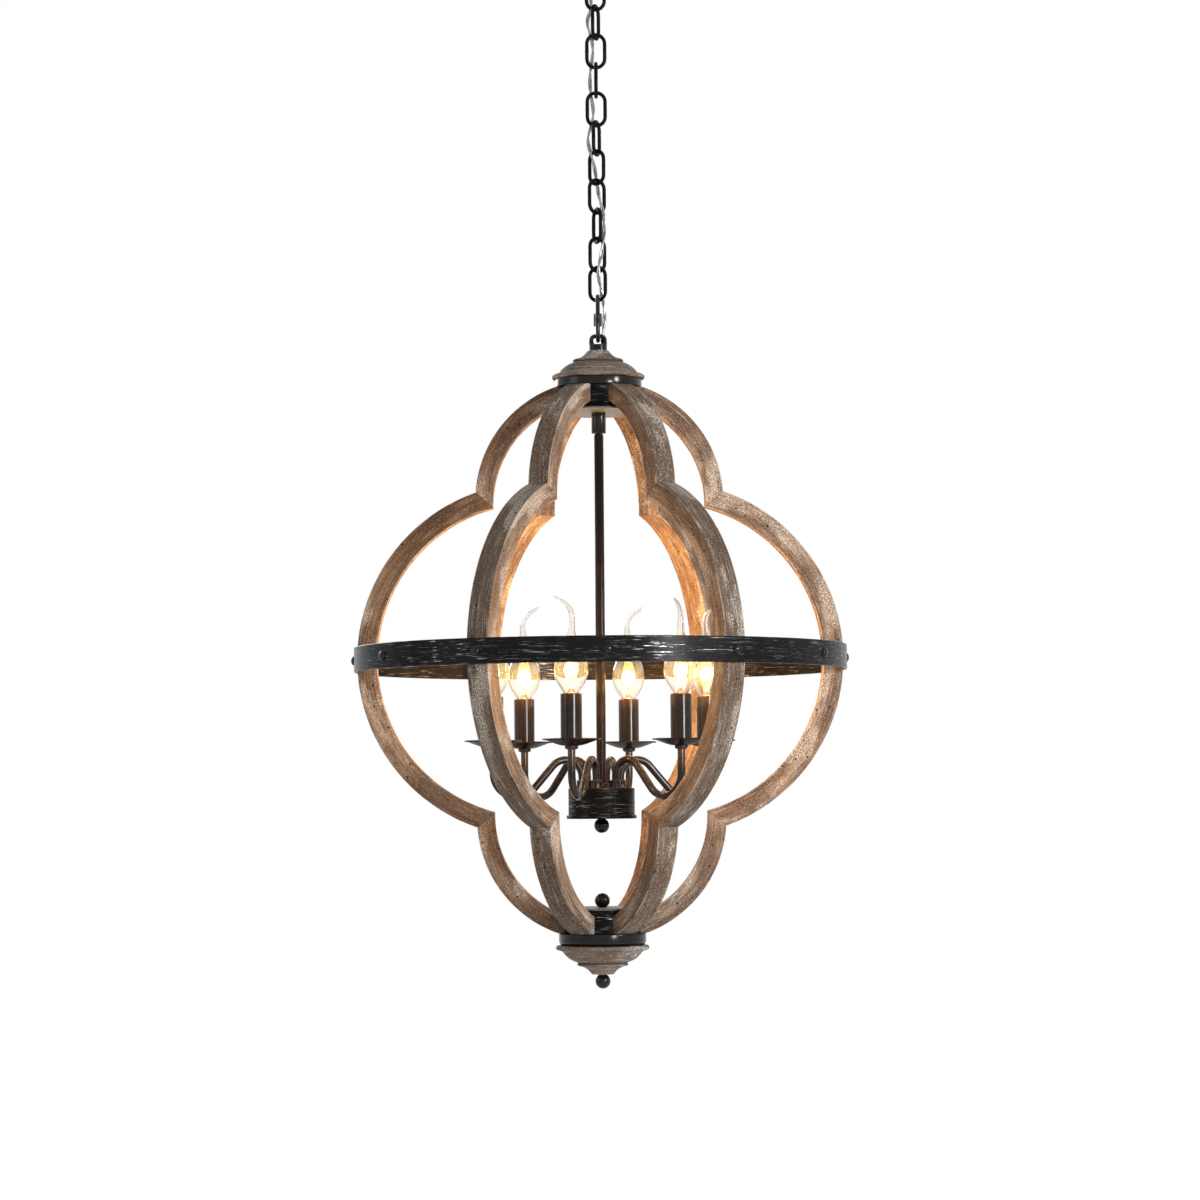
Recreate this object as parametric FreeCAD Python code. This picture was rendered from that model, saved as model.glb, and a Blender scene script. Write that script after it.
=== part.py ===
import FreeCAD, Part

import math
import os

V = FreeCAD.Vector
ORIGIN = V(0, 0, 0)
UP = V(0, 0, 1)
RIGHT_ANGLE = 90.0

# All lengths are in millimetres. The origin is on the ceiling, at the middle of the mounting strap.
# The lamp hangs along -Z. Azimuths are in degrees about Z, from +X towards +Y; -Y is the front.

OVERRUN = 5.0
SEAT_GAP = 0.05
RUN_GAP = 0.3

# Ceiling fitting
STRAP_LENGTH = 112.0
STRAP_WIDTH = 22.0
STRAP_THICKNESS = 2.5
STRAP_CORNER = 2.0
STRAP_HOLE_R = 2.4
STRAP_HOLE_SPACING = 89.0
GROUND_HOLE_X = 24.0
GROUND_SHANK_R = 1.9
GROUND_HEAD_R = 4.2
GROUND_HEAD_HEIGHT = 2.6
GROUND_HEAD_SHARES = [(0.8, 1.0), (1.0, 0.4), (1.0, 0.0)]
NIPPLE_R = 5.0
NIPPLE_BORE_R = 3.4
NIPPLE_LENGTH = 27.0
NUT_R = 8.2
NUT_HEIGHT = 4.0
CANOPY_R = 63.5
CANOPY_SHOULDER_R = 50.0
CANOPY_RIM_HEIGHT = 9.0
CANOPY_DEPTH = 28.0
CANOPY_WALL = 1.6
CANOPY_BRIM_GAP = 0.8
COLLAR_R = 13.0
COLLAR_HEIGHT = 15.0
RING_NUT_R = 18.5
RING_NUT_HEIGHT = 5.0
RING_NUT_BEVEL = 1.3
EYE_WIRE_R = 2.5
EYE_INNER_R = 7.5
EYE_NECK = 3.0
COLLAR_CORD_HOLE_X = -7.5
COLLAR_CORD_HOLE_R = 2.5

# Chain of oval links, from the ceiling down
LINK_LENGTH = 39.6
LINK_WIDTH = 23.0
LINK_WIRE_R = 2.0
LINK_TWISTS = [0, 71, 0, 90, 0, 71, 141, 215, 293, 396, 510]
SCREW_LINK_LENGTH = 52.0
SCREW_LINK_WIDTH = 26.0
SCREW_LINK_WIRE_R = 2.25
SCREW_LINK_TWIST = 90
SLEEVE_NUT_R = 4.4
SLEEVE_NUT_LENGTH = 14.0

# Eye on top of the cage
STEM_COLLAR_R = 9.5
STEM_COLLAR_HEIGHT = 5.5
STEM_EYE_WIRE_R = 2.25
STEM_EYE_INNER_R = 5.0
STEM_EYE_LEG = 3.3
STEM_CORD_HOLE_R = 2.1
STEM_CORD_HOLE_X = 4.7
STEM_CORD_HOLE_Y = 4.5

# Hubs, measured from the middle plane of the cage
DRUM_TOP = 288.0
DRUM_R = 41.0
DRUM_HEIGHT = 24.5
DRUM_LIP_R = 43.4
DRUM_LIP_HEIGHT = 3.4
DISC_R = 48.0
DISC_THICKNESS = 2.0
PLATE_R = 46.0
PLATE_THICKNESS = 13.0
PLATE_EDGE_R = 3.0
CAP_RECESS_DEPTH = 4.0
CAP_RIM_R = 49.3
CAP_RIM_HEIGHT = 6.0
CAP_RIM_FOOT_R = 46.5
CAP_RIM_TOP_R = 46.0
CAP_DOME_FOOT_R = 39.5
CAP_DOME_FOOT_HEIGHT = 8.2
CAP_DOME_BULGE_R = 37.0
CAP_DOME_BULGE_HEIGHT = 13.0
CAP_DOME_TOP_R = 31.0
CAP_DOME_TOP_HEIGHT = 17.4
CAP_STEP_R = 25.9
CAP_STEP_FOOT_HEIGHT = 19.4
CAP_STEP_TOP_HEIGHT = 22.2
CAP_COVE_R = 17.6
CAP_COVE_HEIGHT = 24.8
CAP_NECK_R = 11.4
CAP_HEIGHT = 30.5
TIE_ROD_R = 3.0
TIE_ROD_IN_BALL = 8.0
BALL_R = 7.95
BALL_SEAT_DEPTH = 0.75
BALL_POLE_R = 1.0

# Wood ribs, half quatrefoils around a vertical axis
RIB_COUNT = 6
CAGE_TURN = 1.5
RIB_THICKNESS = 24.0
BELLY_WIDTH = 21.0
BELLY_R = 187.0
LOBE_R = 148.0
LOBE_INNER_R = 113.0
CUSP_DROP = 10.4
INNER_CUSP_DROP = 6.9
RIB_END_HEIGHT = 18.2

# Iron band and its rivets
BAND_R = 260.0
BAND_THICKNESS = 3.0
BAND_HEIGHT = 26.0
RIVET_COUNT = 12
RIVET_HEAD_R = 5.0
RIVET_HEAD_HEIGHT = 3.4
RIVET_SHARES = [(1.0, 0.0), (0.85, 0.55), (0.35, 1.0)]
RIVET_SHANK_R = 1.8
RIVET_IN_RIB = 12.0

# Centre rod and candle cluster
COUPLER_R = 7.6
COUPLER_HEIGHT = 22.0
ROD_R = 5.0
ROD_IN_COUPLER = 9.0
CLUSTER_TOP_DROP = 136.0
CLUSTER_R = 35.0
CLUSTER_HEIGHT = 28.5
CLUSTER_WALL = 1.6
COVER_R = 37.0
COVER_THICKNESS = 3.8
COVER_SPIGOT_HEIGHT = 4.0
ARM_COUNT = 6
ARM_TURN = -15.0
ARM_TUBE_R = 4.0
ARM_ROOT_R = 21.0
ARM_REACH = 117.0
HUMP_SHARE = 18 / 96
HUMP_RISE = 29.8
TROUGH_SHARE = 25 / 96
TROUGH_DROP = 8.8
FERRULE_R = 5.8
FERRULE_HEIGHT = 8.5
ARM_COLLAR_R = 7.0
ARM_COLLAR_HEIGHT = 4.0
CUP_RIM_RISE = 50.6
CUP_R = 30.0
CUP_DEPTH = 7.4
CUP_FOOT_R = 10.0
CUP_WALL = 1.3
SLEEVE_R = 11.0
SLEEVE_WALL = 1.2
SLEEVE_ABOVE_RIM = 46.0
SOCKET_CLEARANCE = 0.3
SOCKET_BELOW_SLEEVE = 3.0
SOCKET_DEPTH = 24.0
BULB_BASE_R = 7.0
BULB_CLEARANCE = 0.7
BULB_R = 17.5
BULB_LENGTH = 100.0
BULB_LEAN = 17.0
BULB_CURL_AZIMUTHS = [178, 110, 20, -8, 5, 190]

# Clear flex, woven down the chain
CORD_R = 1.9
CORD_ARC_SHARE = 0.45
CORD_STEP_ANGLE = 0.45
CORD_END_RUN = 10.0

# The flex's way past the links: place along the chain in links, azimuth, and distance from the axis
# as a share of a link's width
CORD_ROUTE_SHARES = [
    (0.45, 140, 0.3304),
    (1.0, 135, 0.313),
    (1.5, 128, 0.287),
    (2.0, 178, 0.4348),
    (2.5, 128, 0.2957),
    (3.0, 112, 0.2783),
    (3.5, 135, 0.3304),
    (4.0, 158, 0.313),
    (4.5, 135, 0.3304),
    (5.0, 115, 0.2783),
    (5.5, 128, 0.2957),
    (6.0, 180, 0.4348),
    (6.5, 193, 0.287),
    (7.0, 141, 0.113),
    (7.5, 88, 0.2783),
    (8.0, 35, 0.113),
    (8.5, -16, 0.287),
    (9.0, 8, 0.3478),
    (9.5, -16, 0.2957),
    (10.0, -48, 0.2957),
    (10.5, -87, 0.2783),
    (11.0, -30, 0.113),
    (11.5, 32, 0.287),
    (12.1, 22, 0.3739),
]

# Counts of flat sides on small round forms
HEX_SIDES = 6
WIRE_SIDES = 8
TURNED_SIDES = 12
CUP_SIDES = 16
HUB_SIDES = 24
BAND_SIDES = 48
LINK_BEND_STEPS = 4
EYE_BEND_STEPS = 6
HUMP_STEPS = 4
TROUGH_STEPS = 3
BELLY_STEPS = 16
LOBE_STEPS = 8
RIM_STEPS = 2
DOME_STEPS = 2
PLATE_EDGE_STEPS = 3
BALL_STEPS = 4

# Heights and radii that follow from the sizes above
COLLAR_TOP = -(CANOPY_DEPTH + RING_NUT_HEIGHT + RUN_GAP) + COLLAR_HEIGHT
EYE_CENTRE = COLLAR_TOP - COLLAR_HEIGHT - EYE_NECK - EYE_INNER_R - EYE_WIRE_R
HOOK_HEIGHT = EYE_CENTRE - EYE_INNER_R
LINK_PITCH = LINK_LENGTH - 4 * LINK_WIRE_R - RUN_GAP
FIRST_LINK_HEIGHT = HOOK_HEIGHT + RUN_GAP + 2 * LINK_WIRE_R - LINK_LENGTH / 2
LAST_LINK_HEIGHT = FIRST_LINK_HEIGHT - (len(LINK_TWISTS) - 1) * LINK_PITCH
SCREW_LINK_HEIGHT = (
    LAST_LINK_HEIGHT
    - LINK_LENGTH / 2
    + 2 * LINK_WIRE_R
    + RUN_GAP
    + 2 * SCREW_LINK_WIRE_R
    - SCREW_LINK_LENGTH / 2
)
STEM_EYE_CENTRE = (
    SCREW_LINK_HEIGHT - SCREW_LINK_LENGTH / 2 + 2 * SCREW_LINK_WIRE_R + RUN_GAP - STEM_EYE_INNER_R
)
STEM_FOOT = STEM_EYE_CENTRE - STEM_EYE_LEG - STEM_COLLAR_HEIGHT
PLATE_TOP = DRUM_TOP + PLATE_THICKNESS
UPPER_CAP_FOOT = PLATE_TOP - CAP_RECESS_DEPTH
MIDDLE = STEM_FOOT - UPPER_CAP_FOOT - CAP_HEIGHT
DRUM_END = DRUM_TOP - DRUM_HEIGHT
DISC_END = DRUM_END - DISC_THICKNESS
BELLY_INNER_R = BELLY_R - BELLY_WIDTH
CUSP_HEIGHT = BELLY_R - CUSP_DROP
INNER_CUSP_HEIGHT = BELLY_INNER_R - INNER_CUSP_DROP
BAND_INNER_R = BAND_R - BAND_THICKNESS
CLUSTER_TOP = MIDDLE - CLUSTER_TOP_DROP
CLUSTER_FOOT = CLUSTER_TOP - CLUSTER_HEIGHT - COVER_THICKNESS
ARM_SPAN = ARM_REACH - ARM_ROOT_R
HUMP_R = HUMP_SHARE * ARM_SPAN
TROUGH_R = TROUGH_SHARE * ARM_SPAN
CUP_FLOOR = CLUSTER_TOP + CUP_RIM_RISE - CUP_DEPTH
SLEEVE_TOP = CLUSTER_TOP + CUP_RIM_RISE + SLEEVE_ABOVE_RIM
SOCKET_R = SLEEVE_R - SLEEVE_WALL - SOCKET_CLEARANCE
SOCKET_BORE_R = BULB_BASE_R + BULB_CLEARANCE


# Small tools


def save(name, solids):
    shape = solids[0] if len(solids) == 1 else Part.makeCompound(solids)
    shape.exportStep(os.path.join("parts", name + ".step"))


def polar(radius, azimuth, height):
    turn = math.radians(azimuth)
    return V(radius * math.cos(turn), radius * math.sin(turn), height)


def turned_about_z(shape, azimuth):
    copy = shape.copy()
    copy.rotate(ORIGIN, UP, azimuth)
    return copy


def moved(shape, offset):
    copy = shape.copy()
    copy.translate(offset)
    return copy


def ring_copies(shape, count, first_azimuth):
    return [turned_about_z(shape, first_azimuth + 360.0 * i / count) for i in range(count)]


def cylinder(radius, height, foot, axis=UP):
    return Part.makeCylinder(radius, height, foot, axis)


def arc_points(centre, radius, start_angle, end_angle, steps):
    """Points round an arc in the XZ plane, its angles in radians from +X towards +Z."""
    points = []
    for i in range(steps + 1):
        a = start_angle + (end_angle - start_angle) * i / steps
        points.append(centre + V(radius * math.cos(a), 0, radius * math.sin(a)))
    return points


def arc_by_three(a, b, c, steps):
    """Points from a to c in the XZ plane, on the arc that passes b."""
    circle = Part.Arc(a, b, c)
    first, last = circle.FirstParameter, circle.LastParameter
    return [circle.value(first + (last - first) * i / steps) for i in range(steps + 1)]


def flat_faces(corners):
    """One flat face of four corners, or two of three where the four aren't in a plane."""
    a, b, c, d = corners
    normal = (b - a).cross(c - a)
    twist = abs(normal.dot(d - a))
    if twist < 1e-6 * max(normal.Length, 1e-9):
        return [Part.Face(Part.makePolygon([a, b, c, d, a]))]
    return [Part.Face(Part.makePolygon([a, b, c, a])), Part.Face(Part.makePolygon([a, c, d, a]))]


def solid_between(rings, closed=False):
    """A solid whose skin joins rings of equally many corners, with flat ends unless closed."""
    faces = []
    pairs = list(zip(rings, rings[1:]))
    if closed:
        pairs.append((rings[-1], rings[0]))
    for low, high in pairs:
        count = len(low)
        for k in range(count):
            n = (k + 1) % count
            faces += flat_faces([low[k], low[n], high[n], high[k]])
    if not closed:
        for end in (rings[0], rings[-1]):
            faces.append(Part.Face(Part.makePolygon(end + [end[0]])))
    solid = Part.Solid(Part.Shell(faces))
    if solid.Volume < 0:
        solid.reverse()
    return solid


def circle_corners(centre, across, over, radius, sides):
    corners = []
    for k in range(sides):
        turn = 2 * math.pi * (k + 0.5) / sides
        corners.append(centre + across * (radius * math.cos(turn)) + over * (radius * math.sin(turn)))
    return corners


def hollow_turning(outline, sides):
    """A many-sided ring about Z whose section is the closed outline of (radius, height) corners."""
    rings = [circle_corners(V(0, 0, z), V(1, 0, 0), V(0, 1, 0), r, sides) for r, z in outline]
    return solid_between(rings, closed=True)


def faceted_turning(outline, sides, lean=None):
    """A many-sided turned solid about Z from (radius, height) rings; lean gives each ring's offset."""
    rings = []
    for i, (radius, height) in enumerate(outline):
        centre = V(0, 0, height) + (lean[i] if lean else ORIGIN)
        rings.append(circle_corners(centre, V(1, 0, 0), V(0, 1, 0), radius, sides))
    return solid_between(rings)


def faceted_prism(radius, height, foot, axis, sides):
    """A many-sided bar of one radius, along axis from foot."""
    helper = UP if abs(axis.z) < 0.9 else V(1, 0, 0)
    across = axis.cross(helper).normalize()
    over = axis.cross(across).normalize()
    rings = [
        circle_corners(foot, across, over, radius, sides),
        circle_corners(foot + axis * height, across, over, radius, sides),
    ]
    return solid_between(rings)


def rod_bore(low, high):
    """The bar that clears a tie rod from low to high."""
    return faceted_prism(TIE_ROD_R + SEAT_GAP, high - low, V(0, 0, low), UP, WIRE_SIDES)


def bent_bar(stations, across, radius, closed=False):
    """A bar with flat sides along stations of (point, direction, mitre) that lie in one plane."""
    rings = []
    for point, direction, mitre in stations:
        inward = direction.cross(across) * mitre
        rings.append(circle_corners(point, inward, across, radius, WIRE_SIDES))
    return solid_between(rings, closed)


def bend(centre, radius, start_angle, sweep, steps):
    """Mitred stations round an arc in the XZ plane, its runs touching the arc; angles in degrees."""
    stations = []
    way = math.copysign(1, sweep)
    mitre = 1 / math.cos(math.radians(sweep) / steps / 2)
    for i in range(steps):
        a = math.radians(start_angle + sweep * (i + 0.5) / steps)
        spoke = V(math.cos(a), 0, math.sin(a)) * (radius * mitre)
        stations.append((centre + spoke, V(-way * math.sin(a), 0, way * math.cos(a)), mitre))
    return stations


# Ceiling fitting


def mounting_strap():
    strap = Part.makeBox(
        STRAP_LENGTH,
        STRAP_WIDTH,
        STRAP_THICKNESS,
        V(-STRAP_LENGTH / 2, -STRAP_WIDTH / 2, -STRAP_THICKNESS),
    )
    upright = [e for e in strap.Edges if e.BoundBox.ZLength > STRAP_THICKNESS / 2]
    strap = strap.makeChamfer(STRAP_CORNER, upright)
    depth = STRAP_THICKNESS + 2 * OVERRUN
    low = -STRAP_THICKNESS - OVERRUN
    for x in (-STRAP_HOLE_SPACING / 2, STRAP_HOLE_SPACING / 2):
        strap = strap.cut(cylinder(STRAP_HOLE_R, depth, V(x, 0, low)))
    ground_hole = V(GROUND_HOLE_X, 0, low)
    strap = strap.cut(faceted_prism(GROUND_SHANK_R + SEAT_GAP, depth, ground_hole, UP, WIRE_SIDES))
    return strap.cut(faceted_prism(NIPPLE_R + SEAT_GAP, depth, V(0, 0, low), UP, TURNED_SIDES))


def ground_screw():
    """The earth screw under the strap, its shank in the strap's hole."""
    rings = [
        (GROUND_HEAD_R * across, -STRAP_THICKNESS - GROUND_HEAD_HEIGHT * down)
        for across, down in GROUND_HEAD_SHARES
    ]
    head = faceted_turning(rings, WIRE_SIDES)
    foot = V(0, 0, -STRAP_THICKNESS)
    shank = faceted_prism(GROUND_SHANK_R, STRAP_THICKNESS - SEAT_GAP, foot, UP, WIRE_SIDES)
    return moved(head.fuse(shank).removeSplitter(), V(GROUND_HOLE_X, 0, 0))


def threaded_nipple():
    top = -SEAT_GAP
    low = top - NIPPLE_LENGTH
    section = [(NIPPLE_BORE_R, low), (NIPPLE_R, low), (NIPPLE_R, top), (NIPPLE_BORE_R, top)]
    return hollow_turning(section, TURNED_SIDES)


def nipple_nut():
    foot = V(0, 0, -STRAP_THICKNESS - NUT_HEIGHT)
    nut = faceted_prism(NUT_R, NUT_HEIGHT, foot, UP, HEX_SIDES)
    return nut.cut(faceted_prism(NIPPLE_R + SEAT_GAP, NUT_HEIGHT, foot, UP, TURNED_SIDES))


def canopy():
    """A spun dish, open at the top, with a hole that the loop's collar passes."""
    brim = -CANOPY_BRIM_GAP
    outer = [
        (CANOPY_R, brim),
        (CANOPY_R, brim - CANOPY_RIM_HEIGHT),
        (CANOPY_SHOULDER_R, -CANOPY_DEPTH),
        (COLLAR_R + RUN_GAP, -CANOPY_DEPTH),
    ]
    inner = [
        (COLLAR_R + RUN_GAP, -CANOPY_DEPTH + CANOPY_WALL),
        (CANOPY_SHOULDER_R - CANOPY_WALL / 2, -CANOPY_DEPTH + CANOPY_WALL),
        (CANOPY_R - CANOPY_WALL, brim - CANOPY_RIM_HEIGHT + CANOPY_WALL / 2),
        (CANOPY_R - CANOPY_WALL, brim),
    ]
    return hollow_turning(outer + inner, HUB_SIDES)


def canopy_ring_nut():
    top = -CANOPY_DEPTH
    low = top - RING_NUT_HEIGHT
    bore_r = COLLAR_R + SEAT_GAP
    section = [
        (bore_r, low),
        (RING_NUT_R - RING_NUT_BEVEL, low),
        (RING_NUT_R, low + RING_NUT_BEVEL),
        (RING_NUT_R, top),
        (bore_r, top),
    ]
    return hollow_turning(section, HUB_SIDES)


def eye(inner_r, wire_r, leg):
    """A U of round bar in the XZ plane, its bend downwards, its legs reaching up past the centre."""
    middle_r = inner_r + wire_r
    stations = bend(ORIGIN, middle_r, 180, 180, EYE_BEND_STEPS)
    stations.insert(0, (V(-middle_r, 0, leg), UP * -1, 1))
    stations.append((V(middle_r, 0, leg), UP, 1))
    return bent_bar(stations, V(0, 1, 0), wire_r)


def canopy_loop():
    """The threaded collar that holds the ring nut, with the eye that the chain hooks into."""
    foot = COLLAR_TOP - COLLAR_HEIGHT
    collar = faceted_turning([(COLLAR_R, foot), (COLLAR_R, COLLAR_TOP)], HUB_SIDES)
    nipple_bore = faceted_prism(NIPPLE_R + SEAT_GAP, COLLAR_HEIGHT, V(0, 0, foot), UP, TURNED_SIDES)
    cord_foot = V(COLLAR_CORD_HOLE_X, 0, foot)
    cord_bore = faceted_prism(COLLAR_CORD_HOLE_R, COLLAR_HEIGHT, cord_foot, UP, TURNED_SIDES)
    collar = collar.cut(nipple_bore).cut(cord_bore)
    hook = eye(EYE_INNER_R, EYE_WIRE_R, foot - EYE_CENTRE + CANOPY_WALL)
    hook = moved(turned_about_z(hook, RIGHT_ANGLE), V(0, 0, EYE_CENTRE))
    return collar.fuse(hook).removeSplitter()


# Chain


def oval_link(length, width, wire_r):
    """A closed oval of bar in the XZ plane about the origin."""
    bend_r = width / 2 - wire_r
    half_leg = length / 2 - width / 2
    upper = bend(V(0, 0, half_leg), bend_r, 0, 180, LINK_BEND_STEPS)
    lower = bend(V(0, 0, -half_leg), bend_r, 180, 180, LINK_BEND_STEPS)
    return bent_bar(upper + lower, V(0, 1, 0), wire_r, closed=True)


def chain_links():
    link = oval_link(LINK_LENGTH, LINK_WIDTH, LINK_WIRE_R)
    links = []
    for i, twist in enumerate(LINK_TWISTS):
        height = FIRST_LINK_HEIGHT - i * LINK_PITCH
        links.append(moved(turned_about_z(link, twist), V(0, 0, height)))
    return links


def screw_link():
    """The larger link, with the nut that closes its open leg."""
    link = oval_link(SCREW_LINK_LENGTH, SCREW_LINK_WIDTH, SCREW_LINK_WIRE_R)
    leg_x = SCREW_LINK_WIDTH / 2 - SCREW_LINK_WIRE_R
    foot = V(leg_x, 0, -SLEEVE_NUT_LENGTH / 2)
    nut = faceted_prism(SLEEVE_NUT_R, SLEEVE_NUT_LENGTH, foot, UP, HEX_SIDES)
    nut = nut.cut(faceted_prism(SCREW_LINK_WIRE_R + SEAT_GAP, SLEEVE_NUT_LENGTH, foot, UP, WIRE_SIDES))
    place = V(0, 0, SCREW_LINK_HEIGHT)
    return [moved(turned_about_z(s, SCREW_LINK_TWIST), place) for s in (link, nut)]


# Cord


def cord_route():
    """The cord's corner points, from its end in the collar to its end in the stem."""
    top = COLLAR_TOP + CORD_END_RUN / 2
    points = [
        V(COLLAR_CORD_HOLE_X, 0, top),
        V(COLLAR_CORD_HOLE_X, 0, COLLAR_TOP - COLLAR_HEIGHT - EYE_NECK),
    ]
    for place, azimuth, out_share in CORD_ROUTE_SHARES:
        height = FIRST_LINK_HEIGHT - (place - 1) * LINK_PITCH
        points.append(polar(out_share * LINK_WIDTH, azimuth, height))
    stem_top = STEM_FOOT + STEM_COLLAR_HEIGHT
    hole = V(STEM_CORD_HOLE_X, STEM_CORD_HOLE_Y, 0)
    points.append(hole + V(0, 0, stem_top + CORD_END_RUN))
    points.append(hole + V(0, 0, STEM_FOOT + SEAT_GAP))
    return points


def rounded_stations(points):
    """The route as straight runs joined by tangent arcs, each as large as its runs allow."""
    stations = [(points[0], (points[1] - points[0]).normalize())]
    for a, b, c in zip(points, points[1:], points[2:]):
        into = (b - a).normalize()
        out = (c - b).normalize()
        half_turn = into.getAngle(out) / 2
        cut = CORD_ARC_SHARE * min((b - a).Length, (c - b).Length)
        radius = cut / math.tan(half_turn)
        begin = b - into * cut
        centre = b + (out - into).normalize() * (radius / math.cos(half_turn))
        steps = max(2, math.ceil(2 * half_turn / CORD_STEP_ANGLE))
        for i in range(steps + 1):
            turn = 2 * half_turn * i / steps
            spoke = (begin - centre) * math.cos(turn) + into * (radius * math.sin(turn))
            heading = into * math.cos(turn) - (begin - centre).normalize() * math.sin(turn)
            stations.append((centre + spoke, heading.normalize()))
    stations.append((points[-1], (points[-1] - points[-2]).normalize()))
    return stations


def power_cord():
    over = V(0, 1, 0)
    rings = []
    for point, heading in rounded_stations(cord_route()):
        over = (over - heading * over.dot(heading)).normalize()
        rings.append(circle_corners(point, heading.cross(over), over, CORD_R, HEX_SIDES))
    return solid_between(rings)


# Cage


def stem_loop():
    """The eye on the cage, its bend upwards, on a round collar with a hole for the cord."""
    top = STEM_FOOT + STEM_COLLAR_HEIGHT
    collar = faceted_turning(
        [
            (STEM_COLLAR_R, STEM_FOOT),
            (STEM_COLLAR_R, top - STEM_COLLAR_HEIGHT / 4),
            (STEM_COLLAR_R - STEM_COLLAR_HEIGHT / 6, top),
        ],
        CUP_SIDES,
    )
    hook = eye(STEM_EYE_INNER_R, STEM_EYE_WIRE_R, STEM_EYE_LEG + STEM_EYE_WIRE_R)
    hook.rotate(ORIGIN, V(1, 0, 0), 180)
    hook = moved(hook, V(0, 0, STEM_EYE_CENTRE))
    hole = V(STEM_CORD_HOLE_X, STEM_CORD_HOLE_Y, STEM_FOOT)
    bore = faceted_prism(STEM_CORD_HOLE_R, STEM_COLLAR_HEIGHT + OVERRUN, hole, UP, TURNED_SIDES)
    tie_bore = rod_bore(STEM_FOOT, STEM_FOOT + STEM_COLLAR_HEIGHT / 2)
    return collar.fuse(hook).removeSplitter().cut(bore).cut(tie_bore)


def turned_cap():
    """The turned cap, its foot at height zero: rim, dome, step and cove up to the neck."""
    rim_foot = V(CAP_RIM_FOOT_R, 0, 0)
    rim_top = V(CAP_RIM_TOP_R, 0, CAP_RIM_HEIGHT)
    dome_foot = V(CAP_DOME_FOOT_R, 0, CAP_DOME_FOOT_HEIGHT)
    dome_top = V(CAP_DOME_TOP_R, 0, CAP_DOME_TOP_HEIGHT)
    step_foot = V(CAP_STEP_R, 0, CAP_STEP_FOOT_HEIGHT)
    step_top = V(CAP_STEP_R, 0, CAP_STEP_TOP_HEIGHT)
    neck = V(CAP_NECK_R, 0, CAP_HEIGHT)
    rim_bulge = V(CAP_RIM_R, 0, CAP_RIM_HEIGHT / 2)
    dome_bulge = V(CAP_DOME_BULGE_R, 0, CAP_DOME_BULGE_HEIGHT)
    cove = V(CAP_COVE_R, 0, CAP_COVE_HEIGHT)
    outline = arc_by_three(rim_foot, rim_bulge, rim_top, RIM_STEPS)
    outline += arc_by_three(dome_foot, dome_bulge, dome_top, DOME_STEPS)
    outline += [step_foot]
    outline += arc_by_three(step_top, cove, neck, DOME_STEPS)
    cap = faceted_turning([(p.x, p.z) for p in outline], HUB_SIDES)
    return cap.cut(rod_bore(-OVERRUN, CAP_HEIGHT + OVERRUN))


def upper_cap():
    """The cap that sits over the plate, which stands into its recess."""
    recess_r = PLATE_R - PLATE_EDGE_R + RUN_GAP
    recess = faceted_turning([(recess_r, -OVERRUN), (recess_r, CAP_RECESS_DEPTH)], HUB_SIDES)
    return moved(turned_cap().cut(recess), V(0, 0, MIDDLE + UPPER_CAP_FOOT))


def flipped(shape):
    """The shape mirrored top to bottom about the cage's middle plane."""
    return shape.mirror(V(0, 0, MIDDLE), UP)


def lower_cap():
    return flipped(moved(turned_cap(), V(0, 0, MIDDLE + PLATE_TOP)))


def bored_turning(outline):
    """A turned solid with the tie rod's bore right through it."""
    heights = [z for _, z in outline]
    low = min(heights) - OVERRUN
    return faceted_turning(outline, HUB_SIDES).cut(rod_bore(low, max(heights) + OVERRUN))


def upper_plate():
    """The black plate whose raised middle stands in the cap's recess."""
    foot = MIDDLE + DRUM_TOP
    shoulder = MIDDLE + UPPER_CAP_FOOT
    middle_r = PLATE_R - PLATE_EDGE_R
    top = MIDDLE + PLATE_TOP
    return bored_turning([(PLATE_R, foot), (PLATE_R, shoulder), (middle_r, shoulder), (middle_r, top)])


def lower_plate():
    """The black plate with its edge rounded where it meets the lower cap."""
    foot = MIDDLE + DRUM_TOP
    centre = V(PLATE_R - PLATE_EDGE_R, 0, MIDDLE + PLATE_TOP - PLATE_EDGE_R)
    edge = arc_points(centre, PLATE_EDGE_R, 0, math.pi / 2, PLATE_EDGE_STEPS)
    return flipped(bored_turning([(PLATE_R, foot)] + [(p.x, p.z) for p in edge]))


def hub_drum():
    """The brushed drum with a lip under the rib ends."""
    end = MIDDLE + DRUM_END
    lip = end + DRUM_LIP_HEIGHT
    top = MIDDLE + DRUM_TOP
    drum = bored_turning([(DRUM_LIP_R, end), (DRUM_LIP_R, lip), (DRUM_R, lip), (DRUM_R, top)])
    return turned_about_z(drum, CAGE_TURN)


def hub_disc():
    """The thin disc that closes the drum's inner end."""
    end = MIDDLE + DRUM_END
    return bored_turning([(DISC_R, end - DISC_THICKNESS), (DISC_R, end)])


def tie_rod_upper():
    foot = MIDDLE + DISC_END - COUPLER_HEIGHT + ROD_IN_COUPLER + RUN_GAP
    top = STEM_FOOT + STEM_COLLAR_HEIGHT / 2 - SEAT_GAP
    return faceted_prism(TIE_ROD_R, top - foot, V(0, 0, foot), UP, WIRE_SIDES)


def tie_rod_lower():
    reach = DISC_END - TIE_ROD_IN_BALL
    length = PLATE_TOP + CAP_HEIGHT + TIE_ROD_IN_BALL - reach
    return faceted_prism(TIE_ROD_R, length, V(0, 0, MIDDLE - reach - length), UP, WIRE_SIDES)


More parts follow.
